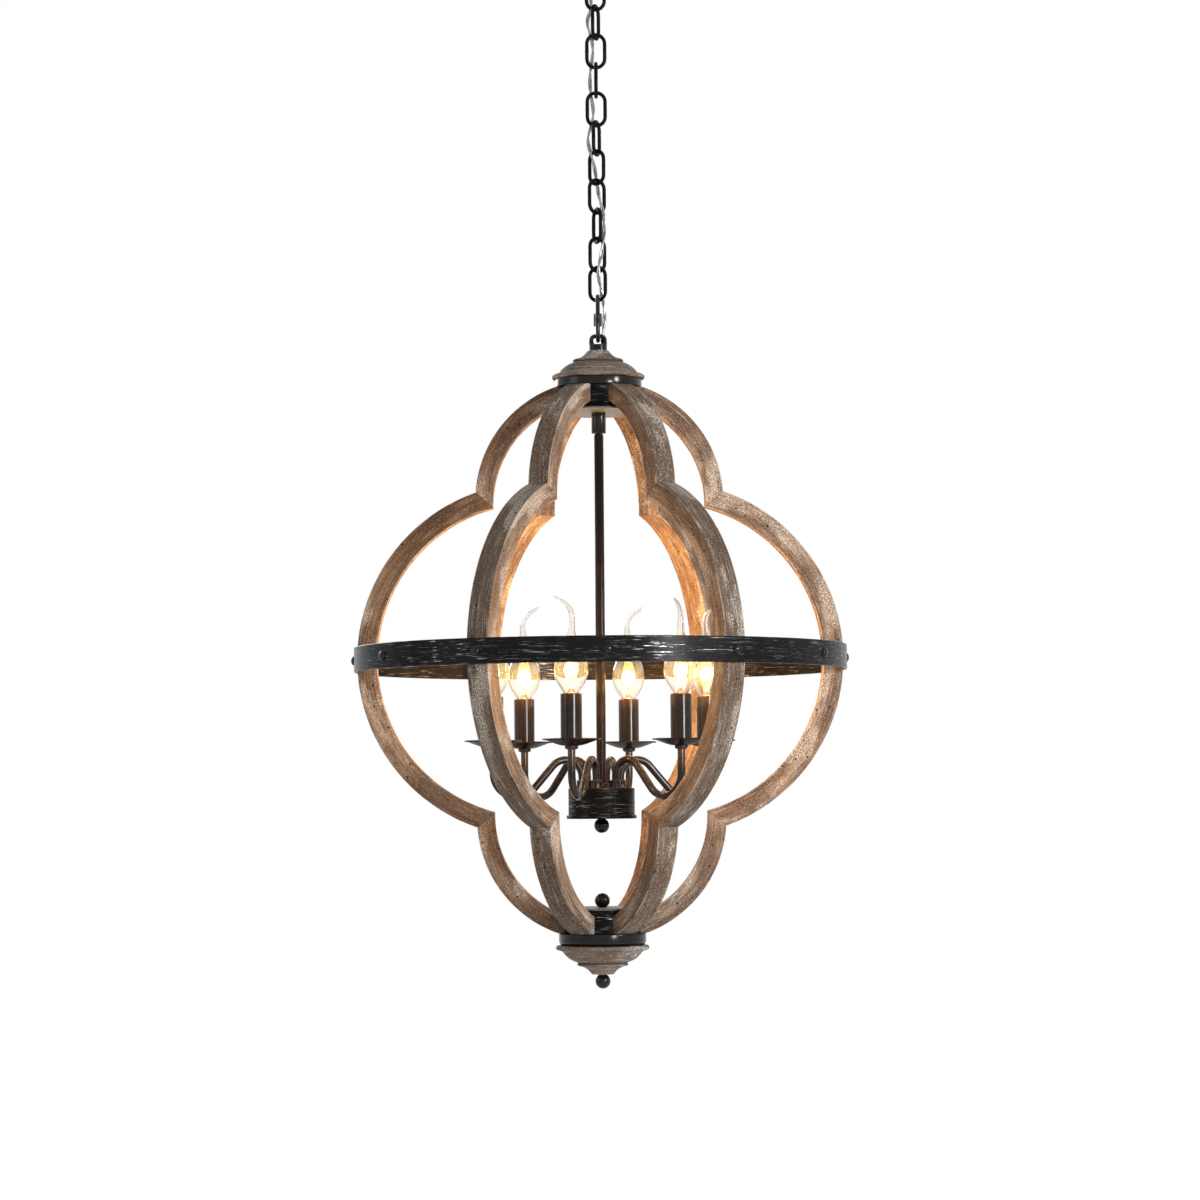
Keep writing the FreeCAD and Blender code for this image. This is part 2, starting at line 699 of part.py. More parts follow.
def ball(seat_height, way):
    """A ball with a flat seat and a blind hole for the rod; way is 1 above the seat, -1 below."""
    rings = []
    low = math.asin((BALL_R - BALL_SEAT_DEPTH) / BALL_R)
    centre = BALL_R - BALL_SEAT_DEPTH
    for i in range(BALL_STEPS):
        lift = -low + (low + math.pi / 2) * i / BALL_STEPS
        rings.append((BALL_R * math.cos(lift), centre + BALL_R * math.sin(lift)))
    rings.append((BALL_POLE_R, centre + BALL_R))
    turning = faceted_turning(rings, TURNED_SIDES)
    turning = turning.cut(rod_bore(0, TIE_ROD_IN_BALL + SEAT_GAP))
    if way < 0:
        turning = turning.mirror(ORIGIN, UP)
    return moved(turning, V(0, 0, seat_height))


def ball_finials():
    return [
        ball(MIDDLE - DISC_END, 1),
        ball(MIDDLE - PLATE_TOP - CAP_HEIGHT, -1),
        ball(CLUSTER_FOOT, -1),
    ]


def circle_centre(a, b, radius):
    """The centre of the circle of this radius through two points, on the side of the cage's axis."""
    middle = (a + b) * 0.5
    along = (b - a).normalize()
    half = (b - a).Length / 2
    side = V(-along.z, 0, along.x)
    if side.x > 0:
        side = side * -1
    return middle + side * math.sqrt(radius**2 - half**2)


def angle_of(point, centre):
    return math.atan2(point.z - centre.z, point.x - centre.x)


def rib_pieces():
    """The two lobes and the belly of one rib, flat sawn and glued at the cusps, reaching along +X."""
    half = RIB_THICKNESS / 2
    reach = band_flat(BAND_INNER_R) - 2 * SEAT_GAP
    belly_centre = V(reach - BELLY_R, 0, 0)
    cusp_x = belly_centre.x + math.sqrt(BELLY_R**2 - CUSP_HEIGHT**2)
    inner_cusp_x = belly_centre.x + math.sqrt(BELLY_INNER_R**2 - INNER_CUSP_HEIGHT**2)
    cusp = V(cusp_x, 0, CUSP_HEIGHT)
    inner_cusp = V(inner_cusp_x, 0, INNER_CUSP_HEIGHT)
    end_x = math.sqrt(DRUM_R**2 - half**2) - RUN_GAP
    end_top = V(end_x, 0, DRUM_TOP - SEAT_GAP)
    end_low = V(end_x, 0, DRUM_TOP - RIB_END_HEIGHT)
    lobe_centre = circle_centre(end_top, cusp, LOBE_R)
    inner_centre = circle_centre(end_low, inner_cusp, LOBE_INNER_R)
    lobe_outline = arc_points(
        lobe_centre, LOBE_R, angle_of(end_top, lobe_centre), angle_of(cusp, lobe_centre), LOBE_STEPS
    )
    lobe_outline += arc_points(
        inner_centre,
        LOBE_INNER_R,
        angle_of(inner_cusp, inner_centre),
        angle_of(end_low, inner_centre),
        LOBE_STEPS,
    )
    top_angle = angle_of(cusp, belly_centre)
    inner_angle = angle_of(inner_cusp, belly_centre)
    belly_outline = arc_points(belly_centre, BELLY_R, top_angle, -top_angle, BELLY_STEPS)
    belly_outline += arc_points(belly_centre, BELLY_INNER_R, -inner_angle, inner_angle, BELLY_STEPS)
    pieces = []
    for outline in (lobe_outline, belly_outline):
        face = Part.Face(Part.makePolygon(outline + [outline[0]]))
        face.translate(V(0, -half, 0))
        pieces.append(face.extrude(V(0, RIB_THICKNESS, 0)))
    lobe, belly = pieces
    core_r = DRUM_R + SEAT_GAP
    core = faceted_turning([(core_r, -DRUM_TOP), (core_r, DRUM_TOP)], HUB_SIDES)
    lobe = lobe.cut(core)
    shank = faceted_prism(
        RIVET_SHANK_R + SEAT_GAP, RIVET_IN_RIB, V(reach - RIVET_IN_RIB, 0, 0), V(1, 0, 0), HEX_SIDES
    )
    belly = belly.cut(shank)
    lower = lobe.mirror(ORIGIN, UP)
    return [moved(piece, V(0, 0, MIDDLE)) for piece in (lobe, belly, lower)]


def band_flat(radius):
    """How far the middle of one of the band's flat sides is from the axis."""
    return radius * math.cos(math.pi / BAND_SIDES)


def ring_band():
    half = BAND_HEIGHT / 2
    band = hollow_turning(
        [
            (BAND_INNER_R, MIDDLE - half),
            (BAND_R, MIDDLE - half),
            (BAND_R, MIDDLE + half),
            (BAND_INNER_R, MIDDLE + half),
        ],
        BAND_SIDES,
    )
    band = turned_about_z(band, CAGE_TURN)
    hole = faceted_prism(
        RIVET_SHANK_R + SEAT_GAP,
        BAND_THICKNESS + 2 * OVERRUN,
        V(BAND_INNER_R - OVERRUN, 0, MIDDLE),
        V(1, 0, 0),
        HEX_SIDES,
    )
    return band.cut(Part.makeCompound(ring_copies(hole, RIVET_COUNT, CAGE_TURN)))


def rivet(shank_length):
    """A domed rivet head on the band's face with its shank, along +X at azimuth zero."""
    rings = [(RIVET_HEAD_R * across, RIVET_HEAD_HEIGHT * up) for across, up in RIVET_SHARES]
    dome = faceted_turning(rings, WIRE_SIDES)
    dome.rotate(ORIGIN, V(0, 1, 0), RIGHT_ANGLE)
    face_x = band_flat(BAND_R)
    dome = moved(dome, V(face_x, 0, MIDDLE))
    shank = faceted_prism(
        RIVET_SHANK_R, shank_length, V(face_x - shank_length, 0, MIDDLE), V(1, 0, 0), HEX_SIDES
    )
    return dome.fuse(shank).removeSplitter()


def band_rivets():
    into_rib = rivet(BAND_THICKNESS + RIVET_IN_RIB - 2 * SEAT_GAP)
    through_band = rivet(BAND_THICKNESS)
    step = 360.0 / RIVET_COUNT
    in_ribs = ring_copies(into_rib, RIB_COUNT, CAGE_TURN)
    between = ring_copies(through_band, RIB_COUNT, CAGE_TURN + step)
    return in_ribs + between


# Centre rod and candle cluster


def rod_coupler():
    foot = MIDDLE + DISC_END - COUPLER_HEIGHT
    body = faceted_prism(COUPLER_R, COUPLER_HEIGHT, V(0, 0, foot), UP, TURNED_SIDES)
    rod_socket = faceted_prism(ROD_R + SEAT_GAP, ROD_IN_COUPLER, V(0, 0, foot), UP, TURNED_SIDES)
    return body.cut(rod_bore(foot, foot + COUPLER_HEIGHT)).cut(rod_socket)


def rod():
    """The centre rod, with a thinner tail through the cluster into the ball below it."""
    top = MIDDLE + DISC_END - COUPLER_HEIGHT + ROD_IN_COUPLER
    tail_foot = CLUSTER_FOOT - TIE_ROD_IN_BALL
    stem = faceted_prism(ROD_R, top - CLUSTER_TOP, V(0, 0, CLUSTER_TOP), UP, TURNED_SIDES)
    tail = faceted_prism(TIE_ROD_R, CLUSTER_TOP - tail_foot, V(0, 0, tail_foot), UP, WIRE_SIDES)
    return stem.fuse(tail).removeSplitter()


def cluster_drum():
    """The spun cup that the arms stand on, open below."""
    foot = CLUSTER_TOP - CLUSTER_HEIGHT
    inner_r = CLUSTER_R - CLUSTER_WALL
    drum = faceted_turning([(CLUSTER_R, foot), (CLUSTER_R, CLUSTER_TOP)], HUB_SIDES)
    hollow = faceted_turning([(inner_r, foot - OVERRUN), (inner_r, CLUSTER_TOP - CLUSTER_WALL)], HUB_SIDES)
    return drum.cut(hollow).cut(rod_bore(foot, CLUSTER_TOP + OVERRUN))


def cluster_cover():
    """The cover that closes the cluster's drum, its raised middle inside the drum's wall."""
    seat = CLUSTER_TOP - CLUSTER_HEIGHT
    spigot_r = CLUSTER_R - CLUSTER_WALL - SEAT_GAP
    spigot_top = seat + COVER_SPIGOT_HEIGHT
    return bored_turning([(COVER_R, CLUSTER_FOOT), (COVER_R, seat), (spigot_r, seat), (spigot_r, spigot_top)])


def arm():
    """One S-shaped tube in the XZ plane: up, over a hump, down into a trough and up to its cup."""
    hump = V(ARM_ROOT_R + HUMP_R, 0, CLUSTER_TOP + HUMP_RISE - HUMP_R)
    trough = V(ARM_REACH - TROUGH_R, 0, CLUSTER_TOP - TROUGH_DROP + TROUGH_R)
    between = trough - hump
    slope = math.atan2(between.z, between.x) - math.asin((HUMP_R + TROUGH_R) / between.Length)
    fall = math.degrees(slope)
    stations = [(V(ARM_ROOT_R, 0, CLUSTER_TOP), UP, 1)]
    over = fall - RIGHT_ANGLE
    stations += bend(hump, HUMP_R, 180, over, HUMP_STEPS)
    stations += bend(trough, TROUGH_R, over, -over, TROUGH_STEPS)
    stations.append((V(ARM_REACH, 0, CUP_FLOOR - ARM_COLLAR_HEIGHT), UP, 1))
    return bent_bar(stations, V(0, 1, 0), ARM_TUBE_R)


def arm_ferrule():
    bore_r = ARM_TUBE_R + RUN_GAP
    section = [(bore_r, 0), (FERRULE_R, 0), (FERRULE_R, FERRULE_HEIGHT), (bore_r, FERRULE_HEIGHT)]
    return moved(hollow_turning(section, WIRE_SIDES), V(ARM_ROOT_R, 0, CLUSTER_TOP))


def arm_collar():
    foot = V(ARM_REACH, 0, CUP_FLOOR - ARM_COLLAR_HEIGHT)
    return faceted_prism(ARM_COLLAR_R, ARM_COLLAR_HEIGHT, foot, UP, WIRE_SIDES)


def cup():
    """A shallow thin dish."""
    outer = faceted_turning([(CUP_FOOT_R, 0), (CUP_R, CUP_DEPTH)], CUP_SIDES)
    hollow = faceted_turning(
        [(CUP_FOOT_R, CUP_WALL), (CUP_R - CUP_WALL / 2, CUP_DEPTH + SEAT_GAP)], CUP_SIDES
    )
    return moved(outer.cut(hollow), V(ARM_REACH, 0, CUP_FLOOR))


def sleeve_foot():
    slope = (CUP_DEPTH - CUP_WALL) / (CUP_R - CUP_WALL / 2 - CUP_FOOT_R)
    return CUP_FLOOR + CUP_WALL + max(0, SLEEVE_R - CUP_FOOT_R) * slope + SEAT_GAP


def candle_sleeve():
    foot = V(ARM_REACH, 0, sleeve_foot())
    height = SLEEVE_TOP - sleeve_foot()
    tube = faceted_prism(SLEEVE_R, height, foot, UP, TURNED_SIDES)
    return tube.cut(faceted_prism(SLEEVE_R - SLEEVE_WALL, height, foot, UP, TURNED_SIDES))


def socket():
    """The lamp holder, standing in the dish, with a blind bore for the bulb's base."""
    foot = CUP_FLOOR + CUP_WALL
    top = SLEEVE_TOP - SOCKET_BELOW_SLEEVE
    body = faceted_prism(SOCKET_R, top - foot, V(ARM_REACH, 0, foot), UP, WIRE_SIDES)
    bore_foot = V(ARM_REACH, 0, top - SOCKET_DEPTH)
    return body.cut(faceted_prism(SOCKET_BORE_R, SOCKET_DEPTH, bore_foot, UP, TURNED_SIDES))


# Each row is height, radius and sideways lean, as shares of the bulb's length, radius and lean
BULB_SHARES = [
    (0.00, 0.42, 0.0),
    (0.12, 0.85, 0.0),
    (0.25, 1.00, 0.0),
    (0.36, 0.91, 0.0),
    (0.48, 0.64, 0.0),
    (0.58, 0.36, 0.02),
    (0.68, 0.22, -0.05),
    (0.80, 0.16, -0.08),
    (0.95, 0.10, 0.55),
    (1.00, 0.05, 1.00),
]


def bulb(curl_azimuth):
    """The glass with its bent tip and the screw base, both about Z with the glass foot at zero."""
    outline = [(BULB_R * r, BULB_LENGTH * h) for h, r, _ in BULB_SHARES]
    lean = [polar(BULB_LEAN * s, curl_azimuth, 0) for _, _, s in BULB_SHARES]
    glass = faceted_turning(outline, WIRE_SIDES, lean)
    base_height = SOCKET_DEPTH - SOCKET_BELOW_SLEEVE - RUN_GAP
    base = faceted_prism(BULB_BASE_R, base_height, V(0, 0, -base_height), UP, WIRE_SIDES)
    return [glass, base]


def bulbs():
    built = []
    for i, curl in enumerate(BULB_CURL_AZIMUTHS):
        place = polar(ARM_REACH, arm_azimuth() + 360.0 * i / ARM_COUNT, SLEEVE_TOP)
        built.append([moved(piece, place) for piece in bulb(curl)])
    return built


def arm_azimuth():
    return ARM_TURN - RIGHT_ANGLE


def around_cluster(shape):
    return ring_copies(shape, ARM_COUNT, arm_azimuth())


def main():
    os.makedirs("parts", exist_ok=True)
    save("mounting_strap", [mounting_strap()])
    save("ground_screw", [ground_screw()])
    save("threaded_nipple", [threaded_nipple()])
    save("nipple_nut", [nipple_nut()])
    save("canopy_loop", [canopy_loop()])
    save("canopy", [canopy()])
    save("canopy_ring_nut", [canopy_ring_nut()])
    for i, link in enumerate(chain_links(), 1):
        save(f"chain_link_{i:02d}", [link])
    save("screw_link", screw_link())
    save("power_cord", [power_cord()])
    save("stem_loop", [stem_loop()])
    save("hub_caps", [upper_cap(), lower_cap()])
    save("hub_plates", [upper_plate(), lower_plate()])
    save("hub_drums", [hub_drum(), flipped(hub_drum())])
    save("hub_discs", [hub_disc(), flipped(hub_disc())])
    save("tie_rods", [tie_rod_upper(), tie_rod_lower()])
    save("ball_finials", ball_finials())
    pieces = rib_pieces()
    for i in range(RIB_COUNT):
        azimuth = CAGE_TURN + 180.0 + 360.0 * i / RIB_COUNT
        save(f"rib_{i + 1}", [turned_about_z(p, azimuth) for p in pieces])
    save("ring_band", [ring_band()])
    save("band_rivets", band_rivets())
    save("rod_coupler", [rod_coupler()])
    save("rod", [rod()])
    save("cluster_drum", [cluster_drum()])
    save("cluster_cover", [cluster_cover()])
    save("arms", around_cluster(arm()))
    save("arm_ferrules", around_cluster(arm_ferrule()))
    save("arm_collars", around_cluster(arm_collar()))
    save("cups", around_cluster(cup()))
    save("candle_sleeves", around_cluster(candle_sleeve()))
    save("sockets", around_cluster(socket()))
    for i, pieces in enumerate(bulbs(), 1):
        save(f"bulb_{i}", pieces)


main()
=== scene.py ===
"""A round wood pendant light with a ring, a candle cluster and a chain, dressed around its CAD frame."""

import logging
import math
from dataclasses import dataclass
from enum import Enum
from typing import Any, Callable, Sequence

import bpy
from mathutils import Matrix, Vector


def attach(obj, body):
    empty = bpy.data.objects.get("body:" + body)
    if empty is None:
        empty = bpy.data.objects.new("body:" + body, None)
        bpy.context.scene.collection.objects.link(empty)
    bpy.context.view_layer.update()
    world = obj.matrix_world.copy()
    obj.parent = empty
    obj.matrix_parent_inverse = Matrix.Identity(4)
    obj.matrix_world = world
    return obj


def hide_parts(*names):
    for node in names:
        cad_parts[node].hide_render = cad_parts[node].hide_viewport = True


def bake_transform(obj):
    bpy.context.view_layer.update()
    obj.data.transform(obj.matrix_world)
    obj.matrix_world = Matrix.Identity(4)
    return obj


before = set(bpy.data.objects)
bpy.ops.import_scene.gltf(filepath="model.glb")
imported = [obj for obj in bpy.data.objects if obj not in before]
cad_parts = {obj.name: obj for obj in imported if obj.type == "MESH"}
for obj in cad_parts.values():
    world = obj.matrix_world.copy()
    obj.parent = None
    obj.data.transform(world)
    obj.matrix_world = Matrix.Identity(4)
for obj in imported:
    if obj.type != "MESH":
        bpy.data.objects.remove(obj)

log = logging.getLogger("pendant_light")

MM = 0.001
MERGE = 1e-6
SMOOTH_ANGLE = math.radians(32)

Colour = tuple[float, float, float]
Station = tuple[float, float, float, float]

# Heights in millimetres that the CAD source derives; zero is the ceiling
MIDDLE = -781.8
STEM_FOOT = -454.3
CLUSTER_TOP = -917.8
SLEEVE_TOP = -821.2
CUP_FLOOR = -874.6
CAGE_TURN = 1.5
ARM_START = -105.0
ARM_REACH = 117.0


class Closing(Enum):
    """How a turned form is closed: with flat ends, as a ring whose section closes, or not at all."""

    SOLID = "solid"
    RING = "ring"
    OPEN = "open"


class Half(Enum):
    """The upper or the lower hub; the value is the way from the ring to that hub."""

    UPPER = 1
    LOWER = -1


# Modelling


def deselect() -> None:
    """Leaves nothing selected."""
    for thing in bpy.context.selected_objects:
        thing.select_set(False)


def pick(piece: bpy.types.Object) -> None:
    """Makes one piece the only selected and the active one.

    Args:
        piece: The object to pick.
    """
    deselect()
    piece.select_set(True)
    bpy.context.view_layer.objects.active = piece


def settle(piece: bpy.types.Object) -> None:
    """Puts a piece's place, turn and scale into its mesh.

    Args:
        piece: The object whose transform is applied.
    """
    pick(piece)
    bpy.ops.object.transform_apply(location=True, rotation=True, scale=True)


def sweep(
    name: str,
    stations: Sequence[Station],
    sides: int,
    closing: Closing = Closing.SOLID,
) -> bpy.types.Object:
    """A round form drawn through rings in the XZ plane by extruding, turning and resizing.

    Args:
        name: The piece's name.
        stations: Each ring's x, z and radius in millimetres and its tilt in degrees from level.
        sides: Corners of each ring.
        closing: How the form is closed.

    Returns:
        The new object, in place.
    """
    deselect()
    x, z, radius, tilt = stations[0]
    fill = "NGON" if closing is Closing.SOLID else "NOTHING"
    bpy.ops.mesh.primitive_circle_add(vertices=sides, radius=radius * MM, fill_type=fill)
    piece = bpy.context.object
    piece.name = name
    bpy.ops.object.mode_set(mode="EDIT")
    bpy.ops.mesh.select_all(action="SELECT")
    if tilt:
        bpy.ops.transform.rotate(value=math.radians(tilt), orient_axis="Y", center_override=(0, 0, 0))
    bpy.ops.transform.translate(value=(x * MM, 0, z * MM))
    rings = list(stations[1:])
    if closing is Closing.RING:
        rings.append(stations[0])
    for next_x, next_z, next_radius, next_tilt in rings:
        step = ((next_x - x) * MM, 0, (next_z - z) * MM)
        centre = (next_x * MM, 0, next_z * MM)
        bpy.ops.mesh.extrude_region_move(TRANSFORM_OT_translate={"value": step})
        if next_tilt != tilt:
            bpy.ops.transform.rotate(
                value=math.radians(next_tilt - tilt), orient_axis="Y", center_override=centre
            )
        if next_radius != radius:
            share = next_radius / radius
            bpy.ops.transform.resize(value=(share, share, share), center_override=centre)
        x, z, radius, tilt = next_x, next_z, next_radius, next_tilt
    finish_mesh()
    return piece


def finish_mesh() -> None:
    """Merges doubles, turns faces outwards, leaves edit mode and smooths shallow edges."""
    bpy.ops.mesh.select_all(action="SELECT")
    bpy.ops.mesh.remove_doubles(threshold=MERGE)
    bpy.ops.mesh.normals_make_consistent(inside=False)
    bpy.ops.object.mode_set(mode="OBJECT")
    bpy.ops.object.shade_smooth_by_angle(angle=SMOOTH_ANGLE)


def turned(
    name: str,
    profile: Sequence[tuple[float, float]],
    sides: int = 64,
    closing: Closing = Closing.SOLID,
) -> bpy.types.Object:
    """A form turned about Z.

    Args:
        name: The piece's name.
        profile: Radius and height of each ring, in millimetres.
        sides: Corners of each ring.
        closing: How the form is closed.

    Returns:
        The new object.
    """
    return sweep(name, [(0.0, z, max(r, 0.05), 0.0) for r, z in profile], sides, closing)


def arc(
    centre: tuple[float, float], radius: float, start: float, end: float, steps: int
) -> list[tuple[float, float]]:
    """Points round an arc in a plane.

    Args:
        centre: The arc's centre.
        radius: The arc's radius.
        start: First angle in degrees, from the first axis towards the second.
        end: Last angle in degrees.
        steps: Number of runs.

    Returns:
        The points, in order.
    """
    points = []
    for i in range(steps + 1):
        a = math.radians(start + (end - start) * i / steps)
        points.append((centre[0] + radius * math.cos(a), centre[1] + radius * math.sin(a)))
    return points


def bend(
    centre: tuple[float, float], radius: float, start: float, sweep_angle: float, wire: float, steps: int
) -> list[Station]:
    """Stations of a bar bent round a centre.

    Args:
        centre: The bend's centre, x and z.
        radius: The bend's middle radius.
        start: The first angle in degrees.
        sweep_angle: The angle bent through, in degrees.
        wire: The bar's radius.
        steps: Number of runs.

    Returns:
        The bar's stations.
    """
    stations = []
    for i, (x, z) in enumerate(arc(centre, radius, start, start + sweep_angle, steps)):
        stations.append((x, z, wire, start + sweep_angle * i / steps))
    return stations


def arc_through(
    a: tuple[float, float], b: tuple[float, float], c: tuple[float, float], steps: int
) -> list[tuple[float, float]]:
    """Points from a to c on the circle that passes b.

    Args:
        a: The first point.
        b: A point between.
        c: The last point.
        steps: Number of runs.

    Returns:
        The points.
    """
    ax, ay, bx, by, cx, cy = *a, *b, *c
    d = 2 * (ax * (by - cy) + bx * (cy - ay) + cx * (ay - by))
    aa, bb, cc = ax * ax + ay * ay, bx * bx + by * by, cx * cx + cy * cy
    x = (aa * (by - cy) + bb * (cy - ay) + cc * (ay - by)) / d
    y = (aa * (cx - bx) + bb * (ax - cx) + cc * (bx - ax)) / d
    radius = math.hypot(ax - x, ay - y)
    start, middle, end = (math.degrees(math.atan2(q - y, p - x)) for p, q in (a, b, c))
    turn = (end - start) % 360
    if (middle - start) % 360 > turn:
        turn -= 360
    return arc((x, y), radius, start, start + turn, steps)


def smooth_profile(corners: Sequence[tuple[float, ...]], runs: int) -> list[tuple[float, ...]]:
    """A smooth line through corners, rounded as a Catmull-Rom curve.

    Args:
        corners: The points to pass.
        runs: Runs between each two corners.

    Returns:
        The line's points.
    """
    ends = [corners[0], *corners, corners[-1]]
    line = []
    for before, a, b, after in zip(ends, ends[1:], ends[2:], ends[3:]):
        for i in range(runs):
            t = i / runs
            line.append(
                tuple(
                    0.5
                    * (
                        2 * q
                        + (r - p) * t
                        + (2 * p - 5 * q + 4 * r - s) * t**2
                        + (3 * q - p - 3 * r + s) * t**3
                    )
                    for p, q, r, s in zip(before, a, b, after)
                )
            )
    return [*line, corners[-1]]


def bevelled(piece: bpy.types.Object, width: float, segments: int = 2, angle: float = 40) -> bpy.types.Object:
    """Rounds a piece's sharp edges with an applied bevel.

    Args:
        piece: The object to round.
        width: The bevel's width in millimetres.
        segments: Runs across the bevel.
        angle: Only edges sharper than this many degrees are rounded.

    Returns:
        The same piece.
    """
    pick(piece)
    modifier = piece.modifiers.new("edges", "BEVEL")
    modifier.width = width * MM
    modifier.segments = segments
    modifier.limit_method = "ANGLE"
    modifier.angle_limit = math.radians(angle)
    bpy.ops.object.modifier_apply(modifier=modifier.name)
    bpy.ops.object.shade_smooth_by_angle(angle=SMOOTH_ANGLE)
    return piece


def copied(
    piece: bpy.types.Object, name: str, turn: float = 0.0, place: tuple[float, float, float] = (0, 0, 0)
) -> bpy.types.Object:
    """A copy with its own mesh, turned about Z and then moved.

    Args:
        piece: The object to copy.
        name: The copy's name.
        turn: Degrees about Z.
        place: The move in millimetres.

    Returns:
        The copy.
    """
    pick(piece)
    bpy.ops.object.duplicate()
    copy = bpy.context.object
    copy.name = name
    copy.rotation_euler = (0, 0, math.radians(turn))
    copy.location = [v * MM for v in place]
    settle(copy)
    return copy


def placed(piece: bpy.types.Object, turn: Sequence[float], place: Sequence[float]) -> bpy.types.Object:
    """Turns a piece by three angles in degrees and then moves it by millimetres.

    Args:
        piece: The object to place.
        turn: The angles about X, Y and Z.
        place: The move.

    Returns:
        The same piece.
    """
    piece.rotation_euler = [math.radians(a) for a in turn]
    piece.location = [v * MM for v in place]
    settle(piece)
    return piece


def joined(name: str, parts: Sequence[bpy.types.Object]) -> bpy.types.Object:
    """Several meshes as one piece.

    Args:
        name: The piece's name.
        parts: The meshes to join.

    Returns:
        The joined piece.
    """
    pick(parts[0])
    for part in parts:
        part.select_set(True)
    bpy.ops.object.join()
    piece = bpy.context.object
    piece.name = name
    return piece


def mirrored(piece: bpy.types.Object) -> bpy.types.Object:
    """Mirrors a piece top to bottom about the ring's plane.

    Args:
        piece: The object to mirror.

    Returns:
        The same piece.
    """
    piece.scale = (1, 1, -1)
    piece.location = (0, 0, 2 * MIDDLE * MM)
    settle(piece)
    bpy.ops.object.mode_set(mode="EDIT")
    finish_mesh()
    return piece


def mark_wear_and_groove_shade(piece: bpy.types.Object) -> None:
    """Writes how far each point stands out of its surroundings, from -1 in a groove to 1 on a crest; crests
    drive rubbed wear, and in turned wood the grooves drive painted shade.

    Args:
        piece: The piece to read and mark.
    """
    mesh = piece.data
    lift = [0.0] * len(mesh.vertices)
    count = [0] * len(mesh.vertices)
    for edge in mesh.edges:
        a, b = (mesh.vertices[i] for i in edge.vertices)
        way = b.co - a.co
        length = max(way.length, MERGE)
        lift[a.index] -= a.normal.dot(way) / length
        lift[b.index] += b.normal.dot(way) / length
        count[a.index] += 1
        count[b.index] += 1
    worn = mesh.attributes.new("worn", "FLOAT", "POINT")
    for i, value in enumerate(lift):
        worn.data[i].value = max(-1.0, min(1.0, 2.2 * value / max(count[i], 1)))


def removed(piece: bpy.types.Object) -> None:
    """Deletes a pattern piece after its copies are made.

    Args:
        piece: The object to delete.
    """
    bpy.data.objects.remove(piece)


# Node trees


class Desk:
    """Places nodes in a tree and joins their sockets."""

    def __init__(self, tree: bpy.types.NodeTree) -> None:
        """Starts on a tree.

        Args:
            tree: The tree to fill.
        """
        self.tree = tree

    def feed(self, socket: bpy.types.NodeSocket, value: Any) -> None:
        """Sets or joins one input.

        Args:
            socket: The input.
            value: A socket to join, or a plain value.
        """
        if isinstance(value, bpy.types.NodeSocket):
            self.tree.links.new(value, socket)
        elif socket.type == "RGBA" and len(value) == 3:
            socket.default_value = (*value, 1.0)
        else:
            socket.default_value = value

    def node(self, kind: str, inputs: dict[Any, Any] | None = None, **settings: Any) -> bpy.types.Node:
        """A new node with its inputs fed.

        Args:
            kind: The node's type.
            inputs: Input name or number to value or socket.
            settings: The node's own settings.

        Returns:
            The node.
        """
        made = self.tree.nodes.new(kind)
        for key, value in settings.items():
            setattr(made, key, value)
        for key, value in (inputs or {}).items():
            self.feed(made.inputs[key], value)
        return made

    def math(self, operation: str, *values: Any, clamp: bool = False) -> bpy.types.NodeSocket:
        """A math node's result.

        Args:
            operation: The operation's name.
            values: Its one to three inputs.
            clamp: Whether the result is kept from 0 to 1.

        Returns:
            The result socket.
        """
        made = self.node("ShaderNodeMath", dict(enumerate(values)), operation=operation, use_clamp=clamp)
        return made.outputs[0]

    def mask(self, value: bpy.types.NodeSocket, low: float, high: float) -> bpy.types.NodeSocket:
        """A value as a soft mask: 0 at low and 1 at high.

        Args:
            value: The value to read.
            low: Where the mask is 0.
            high: Where the mask is 1.

        Returns:
            The mask socket.
        """
        inputs = {"Value": value, "From Min": low, "From Max": high}
        return self.node("ShaderNodeMapRange", inputs, interpolation_type="SMOOTHSTEP").outputs[0]

    def mix(self, factor: Any, a: Any, b: Any, mode: str = "MIX") -> bpy.types.NodeSocket:
        """Two colours mixed.

        Args:
            factor: The share of the second.
            a: The first colour.
            b: The second colour.
            mode: The blend mode.

        Returns:
            The mixed colour's socket.
        """
        made = self.node("ShaderNodeMix", {0: factor, 6: a, 7: b}, data_type="RGBA", blend_type=mode)
        return made.outputs[2]

    def noise(
        self, vector: Any, stretch: Sequence[float], detail: float = 5.0, rough: float = 0.6
    ) -> bpy.types.NodeSocket:
        """Noise on stretched coordinates.

        Args:
            vector: The coordinates.
            stretch: Their scale along each axis, per metre.
            detail: The noise's detail.
            rough: The noise's roughness.

        Returns:
            The noise value's socket.
        """
        mapping = self.node("ShaderNodeMapping", {"Vector": vector, "Scale": stretch})
        inputs = {"Vector": mapping.outputs[0], "Scale": 1.0, "Detail": detail, "Roughness": rough}
        return self.node("ShaderNodeTexNoise", inputs).outputs[0]


GROUPS: dict[str, bpy.types.NodeTree] = {}


